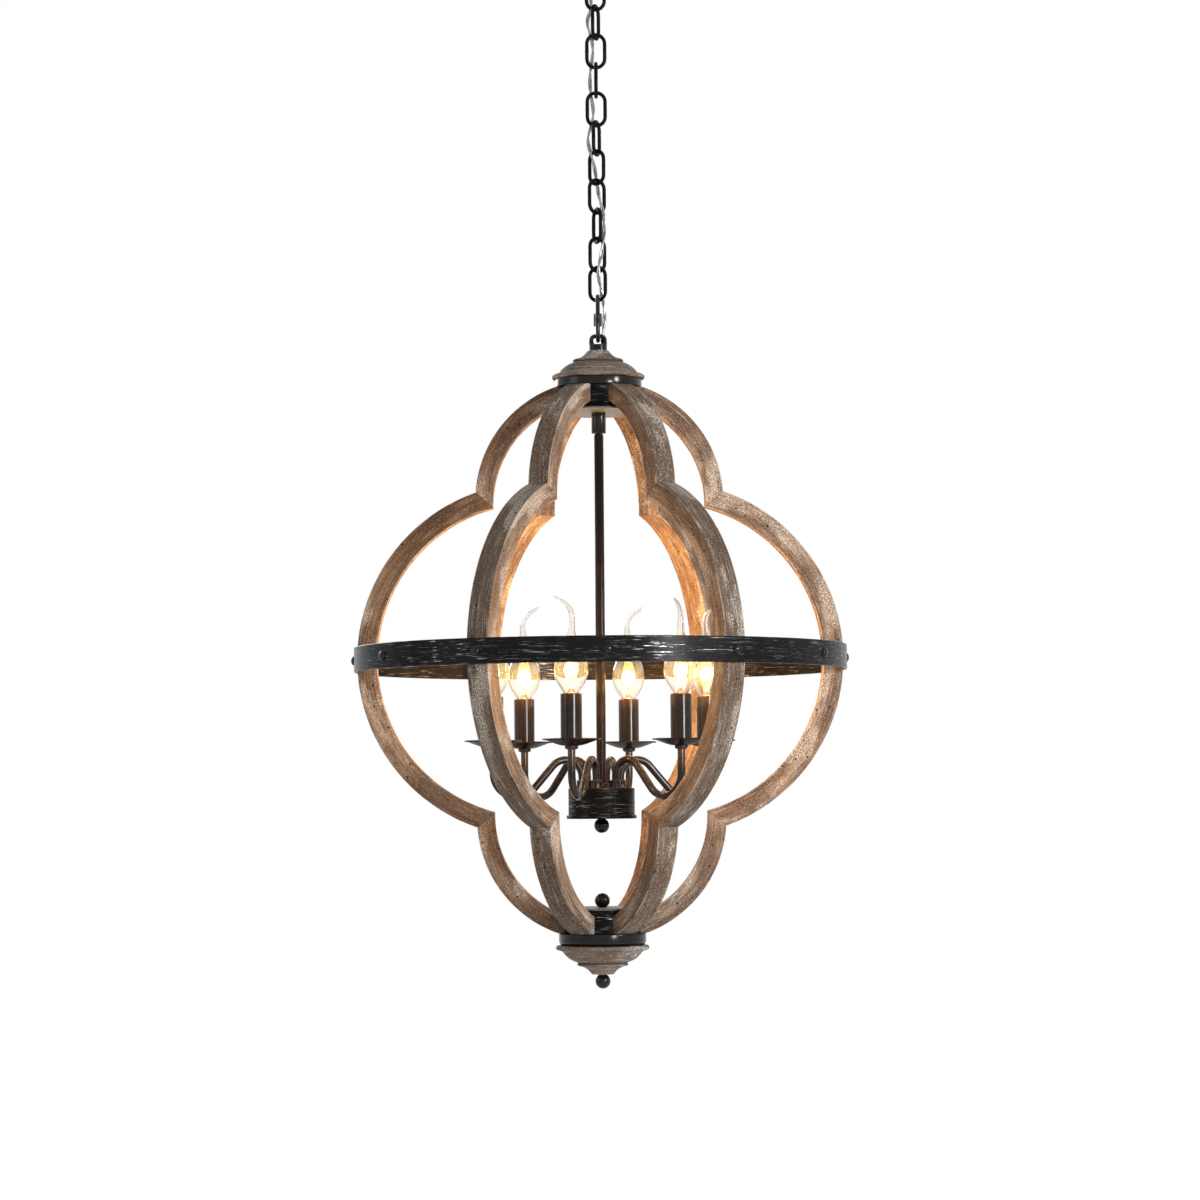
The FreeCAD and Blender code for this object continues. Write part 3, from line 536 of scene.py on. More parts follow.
def group(
    name: str, inputs: dict[str, Any], outputs: dict[str, str], build: Callable[[Desk, Any], dict[str, Any]]
) -> bpy.types.NodeTree:
    """A shader node group, built once.

    Args:
        name: The group's name.
        inputs: Input names to start values; three numbers are a colour, None a vector.
        outputs: Output names to socket types.
        build: Fills the tree and returns output names to sockets.

    Returns:
        The group.
    """
    if name in GROUPS:
        return GROUPS[name]
    tree = bpy.data.node_groups.new(name, "ShaderNodeTree")
    for key, start in inputs.items():
        if start is None:
            tree.interface.new_socket(key, in_out="INPUT", socket_type="NodeSocketVector")
        elif isinstance(start, tuple):
            made = tree.interface.new_socket(key, in_out="INPUT", socket_type="NodeSocketColor")
            made.default_value = (*start, 1.0)
        else:
            made = tree.interface.new_socket(key, in_out="INPUT", socket_type="NodeSocketFloat")
            made.default_value = start
    for key, kind in outputs.items():
        tree.interface.new_socket(key, in_out="OUTPUT", socket_type=kind)
    desk = Desk(tree)
    source = tree.nodes.new("NodeGroupInput").outputs
    sink = tree.nodes.new("NodeGroupOutput").inputs
    for key, socket in build(desk, source).items():
        tree.links.new(socket, sink[key])
    GROUPS[name] = tree
    return tree


def weathered_wood_and_shade() -> bpy.types.NodeTree:
    """Driftwood: streaked grain, whitewash left in it, wormholes and rubbed pale edges, with painted shade on
    the planks' outer faces and in the turned wood's grooves.

    Returns:
        The node group.
    """

    def build(desk: Desk, source: Any) -> dict[str, Any]:
        """Fills the group.

        Args:
            desk: The group's desk.
            source: The group's inputs.

        Returns:
            The outputs.
        """
        run = source["Run"]
        fine = desk.noise(run, (34, 900, 900), 4, 0.6)
        streak = desk.noise(run, (8, 150, 150), 5, 0.6)
        dust = desk.noise(run, (520, 760, 760), 4, 0.75)
        patch = desk.noise(run, (13, 42, 42), 4, 0.55)
        drift = desk.noise(run, (21, 30, 30), 3, 0.6)
        saw = desk.noise(run, (820, 18, 18), 2, 0.5)
        tone = desk.mix(desk.mask(patch, 0.42, 0.6), source["Mid"], source["Warm"])
        tone = desk.mix(desk.math("MULTIPLY", desk.mask(streak, 0.56, 0.4), 0.7), tone, source["Dark"])
        tone = desk.mix(desk.math("MULTIPLY", desk.mask(drift, 0.54, 0.4), 0.5), tone, source["Dark"])
        # painted shade: the planks' outer faces are darkened towards Dark, as if turned away from the light
        tone = desk.mix(desk.math("MULTIPLY", source["Outer_Shade"], 0.55), tone, source["Dark"])
        sawn = desk.math("MULTIPLY", desk.mask(saw, 0.46, 0.3), desk.mask(drift, 0.44, 0.56))
        tone = desk.mix(desk.math("MULTIPLY", sawn, 0.6), tone, source["Dark"])
        washed = desk.math("MULTIPLY", desk.mask(dust, 0.54, 0.62), 0.45)
        scraped = desk.math("MULTIPLY", desk.mask(dust, 0.42, 0.58), desk.mask(patch, 0.47, 0.36))
        washed = desk.math("ADD", washed, desk.math("MULTIPLY", scraped, 0.75))
        washed = desk.math("ADD", washed, desk.math("MULTIPLY", desk.mask(fine, 0.56, 0.68), 0.45))
        washed = desk.math("MULTIPLY", washed, source["Wash"], clamp=True)
        tone = desk.mix(washed, tone, source["Pale"])
        pores = desk.math("MULTIPLY", desk.mask(fine, 0.43, 0.3), 0.7)
        tone = desk.mix(pores, tone, source["Pore"])
        spread = desk.node("ShaderNodeMapping", {"Vector": run, "Scale": (80, 105, 105)})
        cells = desk.node("ShaderNodeTexVoronoi", {"Vector": spread.outputs[0], "Scale": 1.0})
        chosen = desk.node("ShaderNodeSeparateColor", {0: cells.outputs["Color"]}).outputs[0]
        hole = desk.math(
            "MULTIPLY", desk.mask(cells.outputs["Distance"], 0.14, 0.1), desk.mask(chosen, 0.4, 0.42)
        )
        tone = desk.mix(desk.math("MULTIPLY", hole, 0.95), tone, source["Pore"])
        edge = desk.math("MULTIPLY", desk.mask(source["Edge"], 0.9, 0.97), desk.mask(drift, 0.42, 0.58))
        edge = desk.math("MULTIPLY", edge, 0.5)
        tone = desk.mix(edge, tone, source["Pale"])
        # painted shade: the turned wood's grooves are darkened towards Pore
        groove = desk.math("MULTIPLY", desk.mask(source["Edge"], -0.12, -0.7), 0.65)
        tone = desk.mix(groove, tone, source["Pore"])
        height = desk.math("SUBTRACT", desk.math("MULTIPLY", dust, 0.4), desk.math("MULTIPLY", hole, 1.6))
        height = desk.math("ADD", height, desk.math("MULTIPLY", fine, 0.6))
        rough = desk.math("ADD", 0.52, desk.math("MULTIPLY", dust, 0.34), clamp=True)
        return {"Color": tone, "Roughness": rough, "Height": height}

    inputs = {
        "Run": None,
        "Edge": 0.0,
        "Outer_Shade": 0.0,
        "Dark": (0.1, 0.06, 0.04),
        "Mid": (0.2, 0.13, 0.09),
        "Warm": (0.3, 0.2, 0.1),
        "Pale": (0.5, 0.47, 0.42),
        "Pore": (0.02, 0.012, 0.01),
        "Wash": 1.0,
    }
    outputs = {
        "Color": "NodeSocketColor",
        "Roughness": "NodeSocketFloat",
        "Height": "NodeSocketFloat",
    }
    return group("weathered_wood_and_shade", inputs, outputs, build)


def rubbed_iron() -> bpy.types.NodeTree:
    """Black paint brushed through to bright metal in streaks, with soft blotches.

    Returns:
        The node group.
    """

    def build(desk: Desk, source: Any) -> dict[str, Any]:
        """Fills the group.

        Args:
            desk: The group's desk.
            source: The group's inputs.

        Returns:
            The outputs.
        """
        run = source["Run"]
        hair = desk.noise(run, (1, 1, 1), 4, 0.65)
        stroke = desk.noise(run, (1.6, 1.6, 0.5), 4, 0.65)
        blotch = desk.noise(source["Place"], (16, 16, 40), 3, 0.5)
        grit = desk.noise(source["Place"], (1400, 1400, 1400), 2, 0.5)
        bare = desk.math("MULTIPLY", desk.mask(stroke, 0.6, 0.7), desk.mask(blotch, 0.34, 0.62))
        bare = desk.math("ADD", bare, desk.math("MULTIPLY", desk.mask(hair, 0.62, 0.72), 0.9))
        bare = desk.math("MULTIPLY", bare, source["Rub"], clamp=True)
        crest = desk.math("MULTIPLY", desk.mask(source["Edge"], 0.18, 0.75), desk.mask(grit, 0.25, 0.6))
        bare = desk.math("ADD", bare, desk.math("MULTIPLY", crest, source["Wear"]), clamp=True)
        stain = desk.math("MULTIPLY", desk.mask(blotch, 0.45, 0.7), 0.5)
        tone = desk.mix(stain, source["Paint"], source["Warm"])
        tone = desk.mix(bare, tone, source["Bright"])
        rough = desk.math("ADD", desk.math("MULTIPLY", grit, 0.16), source["Polish"])
        rough = desk.math("ADD", rough, desk.math("MULTIPLY", bare, 0.06), clamp=True)
        height = desk.math("ADD", desk.math("MULTIPLY", hair, 0.7), desk.math("MULTIPLY", grit, 0.25))
        return {"Color": tone, "Bare": bare, "Roughness": rough, "Height": height}

    inputs = {
        "Run": None,
        "Place": None,
        "Edge": 0.0,
        "Paint": (0.012, 0.011, 0.01),
        "Bright": (0.45, 0.46, 0.47),
        "Warm": (0.03, 0.02, 0.014),
        "Rub": 1.0,
        "Wear": 0.5,
        "Polish": 0.3,
    }
    outputs = {
        "Color": "NodeSocketColor",
        "Bare": "NodeSocketFloat",
        "Roughness": "NodeSocketFloat",
        "Height": "NodeSocketFloat",
    }
    return group("rubbed_iron", inputs, outputs, build)


def new_material(name: str) -> tuple[bpy.types.Material, Desk, bpy.types.Node]:
    """A material with a Principled shader.

    Args:
        name: The material's name.

    Returns:
        The material, its desk and the shader node.
    """
    material = bpy.data.materials.new(name)
    material.use_nodes = True
    desk = Desk(material.node_tree)
    shader = next(n for n in material.node_tree.nodes if n.type == "BSDF_PRINCIPLED")
    return material, desk, shader


def bump(
    desk: Desk,
    shader: bpy.types.Node,
    height: bpy.types.NodeSocket,
    depth: float,
    strength: float,
) -> None:
    """Feeds a shader's normal from a height.

    Args:
        desk: The material's desk.
        shader: The shader node.
        height: The height socket.
        depth: The relief in millimetres.
        strength: The bump's strength.
    """
    made = desk.node("ShaderNodeBump", {"Height": height, "Distance": depth * MM, "Strength": strength})
    desk.feed(shader.inputs["Normal"], made.outputs[0])


@dataclass(frozen=True)
class WoodFinish:
    """Weathered wood with painted shade on the planks' outer faces and in the turned grooves; turned wood reads
    Object coordinates, planks their own attributes.
    """

    name: str
    slot: str
    dark: Colour
    mid: Colour
    warm: Colour
    pale: Colour
    wash: float
    turned: bool = False

    def make(self) -> bpy.types.Material:
        """Builds the material.

        Returns:
            The material.
        """
        material, desk, shader = new_material(self.name)
        if self.turned:
            coordinates = desk.node("ShaderNodeTexCoord").outputs["Object"]
            squeeze = desk.node("ShaderNodeMapping", {"Vector": coordinates, "Scale": (1.0, 0.09, 0.7)})
            run: Any = squeeze.outputs[0]
            # crests of this attribute give pale rubbed edges, and its grooves give painted shade
            worn = desk.node("ShaderNodeAttribute", attribute_name="worn").outputs["Fac"]
            edge: Any = desk.math("MULTIPLY", worn, 3.4)
            outer_shade: Any = 0.0
        else:
            run = desk.node("ShaderNodeAttribute", attribute_name="grain").outputs["Vector"]
            rim = desk.node("ShaderNodeAttribute", attribute_name="rim").outputs["Vector"]
            axes = desk.node("ShaderNodeSeparateXYZ", {0: rim}).outputs
            sides = [desk.math("ABSOLUTE", axes[i]) for i in range(2)]
            edge = desk.math("MINIMUM", *sides)
            # painted shade on the planks' outer faces, where rim's first value is near 1
            outer_shade = desk.mask(axes[0], 0.95, 0.99)
        wood = desk.node("ShaderNodeGroup")
        wood.node_tree = weathered_wood_and_shade()
        values = {
            "Run": run,
            "Edge": edge,
            "Outer_Shade": outer_shade,
            "Dark": self.dark,
            "Mid": self.mid,
            "Warm": self.warm,
            "Pale": self.pale,
            "Wash": self.wash,
        }
        for key, value in values.items():
            desk.feed(wood.inputs[key], value)
        desk.feed(shader.inputs["Base Color"], wood.outputs["Color"])
        desk.feed(shader.inputs["Roughness"], wood.outputs["Roughness"])
        shader.inputs["Specular IOR Level"].default_value = 0.25
        bump(desk, shader, wood.outputs["Height"], 0.35, 0.5)
        return material


@dataclass(frozen=True)
class IronFinish:
    """Painted iron, brushed or rubbed through by an amount."""

    name: str
    slot: str
    paint: Colour
    bright: Colour
    warm: Colour
    rub: float
    polish: float
    lay: tuple[float, float, float] = (28, 28, 1300)
    wear: float = 0.5
    sheen: float = 0.3
    relief: float = 0.1

    def make(self) -> bpy.types.Material:
        """Builds the material.

        Returns:
            The material.
        """
        material, desk, shader = new_material(self.name)
        iron = desk.node("ShaderNodeGroup")
        iron.node_tree = rubbed_iron()
        place = desk.node("ShaderNodeTexCoord").outputs["Object"]
        values = {
            "Run": desk.node("ShaderNodeMapping", {"Vector": place, "Scale": self.lay}).outputs[0],
            "Place": place,
            "Edge": desk.node("ShaderNodeAttribute", attribute_name="worn").outputs["Fac"],
            "Paint": self.paint,
            "Bright": self.bright,
            "Warm": self.warm,
            "Rub": self.rub,
            "Wear": self.wear,
            "Polish": self.polish,
        }
        for key, value in values.items():
            desk.feed(iron.inputs[key], value)
        desk.feed(shader.inputs["Base Color"], iron.outputs["Color"])
        desk.feed(shader.inputs["Roughness"], iron.outputs["Roughness"])
        desk.feed(shader.inputs["Metallic"], desk.mask(iron.outputs["Bare"], 0.0, 0.8))
        shader.inputs["Specular IOR Level"].default_value = self.sheen
        bump(desk, shader, iron.outputs["Height"], self.relief, 0.5)
        return material


@dataclass(frozen=True)
class GlassFinish:
    """Clear thin glass that lets the lamp's light out, with a painted warm glow near the hot wire and painted
    shade on its edges.
    """

    name: str
    slot: str
    tint: Colour
    # the colour of the glass's painted edge shade
    rim: Colour

    def make(self) -> bpy.types.Material:
        """Builds the material.

        Returns:
            The material.
        """
        material, desk, shader = new_material(self.name)
        # painted shade: the glass turns towards the rim colour where its surface turns away from the view
        facing = desk.node("ShaderNodeLayerWeight", {"Blend": 0.35}).outputs["Facing"]
        # painted glow: near the hot wire's height the glass is tinted warmer and gives a faint warm light of its
        # own
        glow = desk.node("ShaderNodeAttribute", attribute_name="glow").outputs["Fac"]
        warm = desk.mix(glow, self.tint, (1.0, 0.965, 0.88))
        desk.feed(shader.inputs["Base Color"], desk.mix(desk.mask(facing, 0.1, 0.8), warm, self.rim))
        shader.inputs["Transmission Weight"].default_value = 1.0
        desk.feed(shader.inputs["Emission Color"], desk.mix(glow, (0, 0, 0), (1.0, 0.66, 0.27)))
        shader.inputs["Emission Strength"].default_value = 0.16
        shader.inputs["IOR"].default_value = 1.45
        coordinates = desk.node("ShaderNodeTexCoord").outputs["Object"]
        ripple = desk.noise(coordinates, (90, 90, 45), 2, 0.5)
        smear = desk.noise(coordinates, (300, 300, 120), 3, 0.6)
        desk.feed(shader.inputs["Roughness"], desk.math("MULTIPLY", smear, 0.04))
        bump(desk, shader, ripple, 0.4, 0.15)
        clear = desk.node("ShaderNodeBsdfTransparent", {0: (0.97, 0.95, 0.9)})
        ray = desk.node("ShaderNodeLightPath").outputs["Is Shadow Ray"]
        mixed = desk.node("ShaderNodeMixShader", {0: ray, 1: shader.outputs[0], 2: clear.outputs[0]})
        sheet = next(n for n in material.node_tree.nodes if n.type == "OUTPUT_MATERIAL")
        desk.feed(sheet.inputs["Surface"], mixed.outputs[0])
        return material


@dataclass(frozen=True)
class GlowFinish:
    """A hot wire that gives light, its colour mottled between warm and pale."""

    name: str
    slot: str
    colour: Colour
    strength: float

    def make(self) -> bpy.types.Material:
        """Builds the material.

        Returns:
            The material.
        """
        material, desk, shader = new_material(self.name)
        coordinates = desk.node("ShaderNodeTexCoord").outputs["Object"]
        flicker = desk.noise(coordinates, (400, 400, 400), 2, 0.5)
        hot = desk.mix(flicker, self.colour, (1.0, 0.86, 0.55))
        desk.feed(shader.inputs["Emission Color"], hot)
        shader.inputs["Emission Strength"].default_value = self.strength
        shader.inputs["Base Color"].default_value = (*self.colour, 1.0)
        return material


@dataclass(frozen=True)
class PlainFinish:
    """A painted, plated or moulded surface with faint mottling."""

    name: str
    slot: str
    colour: Colour
    shade: Colour
    rough: float
    metallic: float = 0.0
    coat: float = 0.0
    stretch: tuple[float, float, float] = (160, 160, 160)

    def make(self) -> bpy.types.Material:
        """Builds the material.

        Returns:
            The material.
        """
        material, desk, shader = new_material(self.name)
        coordinates = desk.node("ShaderNodeTexCoord").outputs["Object"]
        mottle = desk.noise(coordinates, self.stretch, 5, 0.6)
        grit = desk.noise(coordinates, (1500, 1500, 1500), 2, 0.5)
        tone = desk.mix(desk.mask(mottle, 0.35, 0.65), self.shade, self.colour)
        desk.feed(shader.inputs["Base Color"], tone)
        rough = desk.math("ADD", desk.math("MULTIPLY", mottle, 0.16), self.rough - 0.08, clamp=True)
        desk.feed(shader.inputs["Roughness"], rough)
        shader.inputs["Metallic"].default_value = self.metallic
        shader.inputs["Coat Weight"].default_value = self.coat
        bump(desk, shader, grit, 0.03, 0.3)
        return material


class Finishes:
    """Every finish, made once and kept by its short key."""

    TABLE: dict[str, Any] = {
        "driftwood": WoodFinish(
            "driftwood", "driftwood", (0.070, 0.041, 0.025), (0.262, 0.180, 0.122),
            (0.178, 0.102, 0.057), (0.660, 0.590, 0.510), 0.9,
        ),
        "turned_wood": WoodFinish(
            "turned_wood", "turned_wood", (0.075, 0.052, 0.038), (0.230, 0.180, 0.142),
            (0.160, 0.112, 0.080), (0.600, 0.560, 0.510), 0.9, True,
        ),
        "brushed": IronFinish(
            "brushed_black", "brushed_black", (0.004, 0.004, 0.004), (0.560, 0.560, 0.575),
            (0.007, 0.006, 0.005), 0.95, 0.16, (24, 24, 2300), 0.03, 0.05, 0.12,
        ),
        "iron": IronFinish(
            "black_iron", "black_iron", (0.005, 0.005, 0.005), (0.110, 0.110, 0.114),
            (0.009, 0.007, 0.006), 0.05, 0.08, (34, 34, 900), 0.5, 0.22, 0.05,
        ),
        "chain": IronFinish(
            "chain_black", "black_iron", (0.003, 0.003, 0.003), (0.060, 0.060, 0.060),
            (0.004, 0.004, 0.004), 0.03, 0.30, (60, 60, 60), 0.3, 0.06, 0.03,
        ),
        "bronze": IronFinish(
            "dark_bronze", "dark_bronze", (0.010, 0.007, 0.005), (0.230, 0.130, 0.080),
            (0.034, 0.017, 0.009), 0.26, 0.10, (420, 420, 9), 0.5, 0.25, 0.05,
        ),
        "rod": IronFinish(
            "rod_bronze", "dark_bronze", (0.008, 0.006, 0.005), (0.200, 0.115, 0.072),
            (0.022, 0.012, 0.008), 0.18, 0.08, (520, 520, 7), 0.5, 0.12, 0.05,
        ),
        "dish": IronFinish(
            "dish_bronze", "dark_bronze", (0.008, 0.006, 0.005), (0.160, 0.100, 0.070),
            (0.020, 0.011, 0.007), 0.12, 0.22, (40, 40, 40), 0.6, 0.03, 0.05,
        ),
        "disc": PlainFinish("pale_disc", "pale_disc", (0.125, 0.125, 0.130), (0.085, 0.085, 0.090), 0.5),
        "zinc": PlainFinish(
            "zinc_steel", "zinc_steel", (0.46, 0.46, 0.45), (0.34, 0.34, 0.33), 0.38, 1.0,
        ),
        "earth": PlainFinish(
            "earth_green", "earth_green", (0.05, 0.26, 0.09), (0.03, 0.18, 0.06), 0.35, 0.3, 0.4,
        ),
        "brass": PlainFinish(
            "cap_brass", "clear_glass", (0.72, 0.52, 0.26), (0.52, 0.36, 0.17), 0.3, 1.0,
        ),
        "holder": PlainFinish("lampholder", "lampholder", (0.03, 0.03, 0.03), (0.015, 0.015, 0.015), 0.5),
        "strands": PlainFinish(
            "flex_strands", "clear_flex", (0.42, 0.415, 0.39), (0.13, 0.128, 0.12), 0.25, 0.35, 1.0,
            (700, 700, 190),
        ),
        # the second colour is the glass's painted edge shade
        "glass": GlassFinish("clear_glass", "clear_glass", (0.940, 0.915, 0.875), (0.20, 0.165, 0.13)),
        "glow": GlowFinish("hot_wire", "clear_glass", (1.0, 0.66, 0.3), 60.0),
    }

    def __init__(self) -> None:
        """Starts with no material made."""
        self.made: dict[str, bpy.types.Material] = {}

    def material(self, key: str) -> bpy.types.Material:
        """The material of a finish, made at first use.

        Args:
            key: The finish's short key.

        Returns:
            The material.
        """
        if key not in self.made:
            self.made[key] = self.TABLE[key].make()
        return self.made[key]

    def dress(self, piece: bpy.types.Object, key: str) -> None:
        """Gives a piece one finish.

        Args:
            piece: The object to dress.
            key: The finish's short key.
        """
        piece.data.materials.clear()
        piece.data.materials.append(self.material(key))


FINISHES = Finishes()
WEAR_AND_GROOVE_SHADE = ("iron", "brushed", "bronze", "rod", "dish", "turned_wood")


def keep(piece: bpy.types.Object, finish: str, body: str, *nodes: str) -> bpy.types.Object:
    """Dresses a finished piece, seats it on its body and lets it stand for CAD nodes.

    Args:
        piece: The finished object.
        finish: The finish's short key.
        body: The CAD body that it rides on.
        nodes: The CAD nodes that it replaces.

    Returns:
        The same piece.
    """
    if finish in WEAR_AND_GROOVE_SHADE:
        mark_wear_and_groove_shade(piece)
    FINISHES.dress(piece, finish)
    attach(piece, body)
    if nodes:
        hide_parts(*nodes)
    log.info("%s rides on %s", piece.name, body)
    return piece


# Sub-assemblies


@dataclass
class CeilingFitting:
    """The strap, nipple, loop, canopy and ring nut at the ceiling."""

    canopy_radius: float = 63.5
    canopy_depth: float = 28.0
    brim_gap: float = 0.8
    wall: float = 1.6
    collar_radius: float = 13.0
    collar_top: float = -18.3
    collar_foot: float = -33.3
    eye_centre: float = -46.3
    eye_radius: float = 10.0
    eye_wire: float = 2.5

    def build(self) -> None:
        """Builds and dresses the fitting."""
        self.dress_hidden()
        self.canopy()
        self.ring_nut()
        self.loop()

    def dress_hidden(self) -> None:
        """Gives the CAD parts inside the canopy their finish."""
        for node, key in (
            ("mounting_strap", "zinc"),
            ("threaded_nipple", "zinc"),
            ("nipple_nut", "zinc"),
            ("ground_screw", "earth"),
        ):
            FINISHES.dress(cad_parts[node], key)

    def canopy(self) -> None:
        """A spun dish with a rolled brim, a step and a soft shoulder."""
        r, d, w = self.canopy_radius, self.canopy_depth, self.wall
        brim = -self.brim_gap
        hole = self.collar_radius + 0.3
        outer = smooth_profile(
            [(r - 0.6, brim), (r, brim - 1.2), (r, brim - 3.0), (r - 1.0, brim - 6.5), (r - 4.5, brim - 11.0),
             (r - 9.5, brim - 17.5), (r - 14.5, brim - 23.5), (r - 20.0, brim - 26.4), (r - 26.0, -d)], 4,
        )
        inner = [(max(a - w, hole), b + w * 0.8) for a, b in reversed(outer)]
        inner[-1] = (r - 0.6 - w, brim)
        profile = [*outer, (hole, -d), (hole, -d + w), *inner]
        dish = turned("canopy_dish", profile, 96, Closing.RING)
        keep(dish, "iron", "canopy_body", "canopy")

    def ring_nut(self) -> None:
        """The knurled ring under the canopy."""
        top = -self.canopy_depth
        bore = self.collar_radius + 0.05
        profile = [(bore, top), (bore, top - 5.0), (16.6, top - 5.0), (18.2, top - 3.9), (18.5, top - 3.2),
                   (18.5, top - 0.9), (17.9, top - 0.2), (17.4, top)]
        nut = turned("ring_nut", profile, 72, Closing.RING)
        keep(nut, "iron", "canopy_body", "canopy_ring_nut")

    def loop(self) -> None:
        """The collar with its eye for the first link."""
        foot, top, r = self.collar_foot, self.collar_top, self.collar_radius
        rings = [(r - 3.0, foot - 1.0), (r - 0.8, foot - 0.2), (r, foot + 0.9)]
        for i in range(8):
            z = foot + 1.6 + i * 1.6
            rings += [(r, z), (r - 0.45, z + 0.4), (r - 0.45, z + 0.8), (r, z + 1.2)]
        rings += [(r - 0.6, top)]
        bore = 5.05
        rings = [(bore, foot + 1.6), (bore + 1.5, foot - 1.0), *rings, (bore, top)]
        collar = turned("loop_collar", rings, 48, Closing.RING)
        leg = self.collar_foot + 0.6 - self.eye_centre
        stations = [(-self.eye_radius, leg, self.eye_wire, 180.0)]
        stations += bend((0, 0), self.eye_radius, 180, 180, self.eye_wire, 16)
        stations.append((self.eye_radius, leg, self.eye_wire, 360.0))
        eye = sweep("loop_eye", stations, 16)
        placed(eye, (0, 0, 90), (0, 0, self.eye_centre))
        keep(joined("canopy_loop_piece", [collar, eye]), "iron", "ceiling_fitting", "canopy_loop")


@dataclass
class Chain:
    """Eleven oval links and the larger screw link."""

    twists: tuple[float, ...] = (0, 71, 0, 90, 0, 71, 141, 215, 293, 396, 510)
    length: float = 39.6
    width: float = 23.0
    wire: float = 2.0
    first: float = -69.3
    pitch: float = 31.3
    screw_height: float = -419.3
    screw_length: float = 52.0
    screw_width: float = 26.0
    screw_wire: float = 2.25

    def build(self) -> None:
        """Builds every link on its own body."""
        plain = self.oval("plain_link", self.length, self.width, self.wire, 12)
        for i, twist in enumerate(self.twists):
            link = copied(plain, f"link_{i + 1:02d}", twist, (0, 0, self.first - i * self.pitch))
            keep(link, "chain", f"link_{i + 1:02d}", f"chain_link_{i + 1:02d}")
        removed(plain)
        self.screw()

    def oval(self, name: str, length: float, width: float, wire: float, sides: int) -> bpy.types.Object:
        """A closed oval of round bar with a slightly swollen weld.

        Args:
            name: The piece's name.
            length: Outside length.
            width: Outside width.
            wire: The bar's radius.
            sides: Corners of the bar's section.

        Returns:
            The link about the origin.
        """
        radius = width / 2 - wire
        leg = length / 2 - width / 2
        stations = bend((0, leg), radius, 0, 180, wire, 12)
        for z, swell in ((0.9, 1.0), (0.6, 1.07), (0.12, 1.08), (0.0, 0.93), (-0.12, 1.08), (-0.6, 1.07),
                         (-0.9, 1.0)):
            stations.append((-radius, z, wire * swell, 180.0))
        stations += bend((0, -leg), radius, 180, 180, wire, 12)
        return sweep(name, stations, sides, Closing.RING)

    def screw(self) -> None:
        """The quick link with its threaded leg and long hexagon nut."""
        bar = self.oval("screw_bar", self.screw_length, self.screw_width, self.screw_wire, 16)
        x = self.screw_width / 2 - self.screw_wire
        half = 7.0
        profile = [(3.6, -half), (4.3, -half + 0.7), (4.4, -half + 1.2), (4.4, half - 1.2), (4.3, half - 0.7),
                   (3.6, half)]
        nut = turned("screw_nut", profile, 6)
        placed(nut, (0, 0, 0), (x, 0, 0))
        thread = []
        for i in range(9):
            z = half + 0.2 + i * 0.5
            thread += [(self.screw_wire * 0.93, z), (self.screw_wire * 1.04, z + 0.25)]
        ridge = turned("screw_thread", thread, 14)
        placed(ridge, (0, 0, 0), (x, 0, 0))
        link = joined("quick_link_piece", [bar, nut, ridge])
        placed(link, (0, 0, 90), (0, 0, self.screw_height))
        keep(link, "iron", "quick_link", "screw_link")


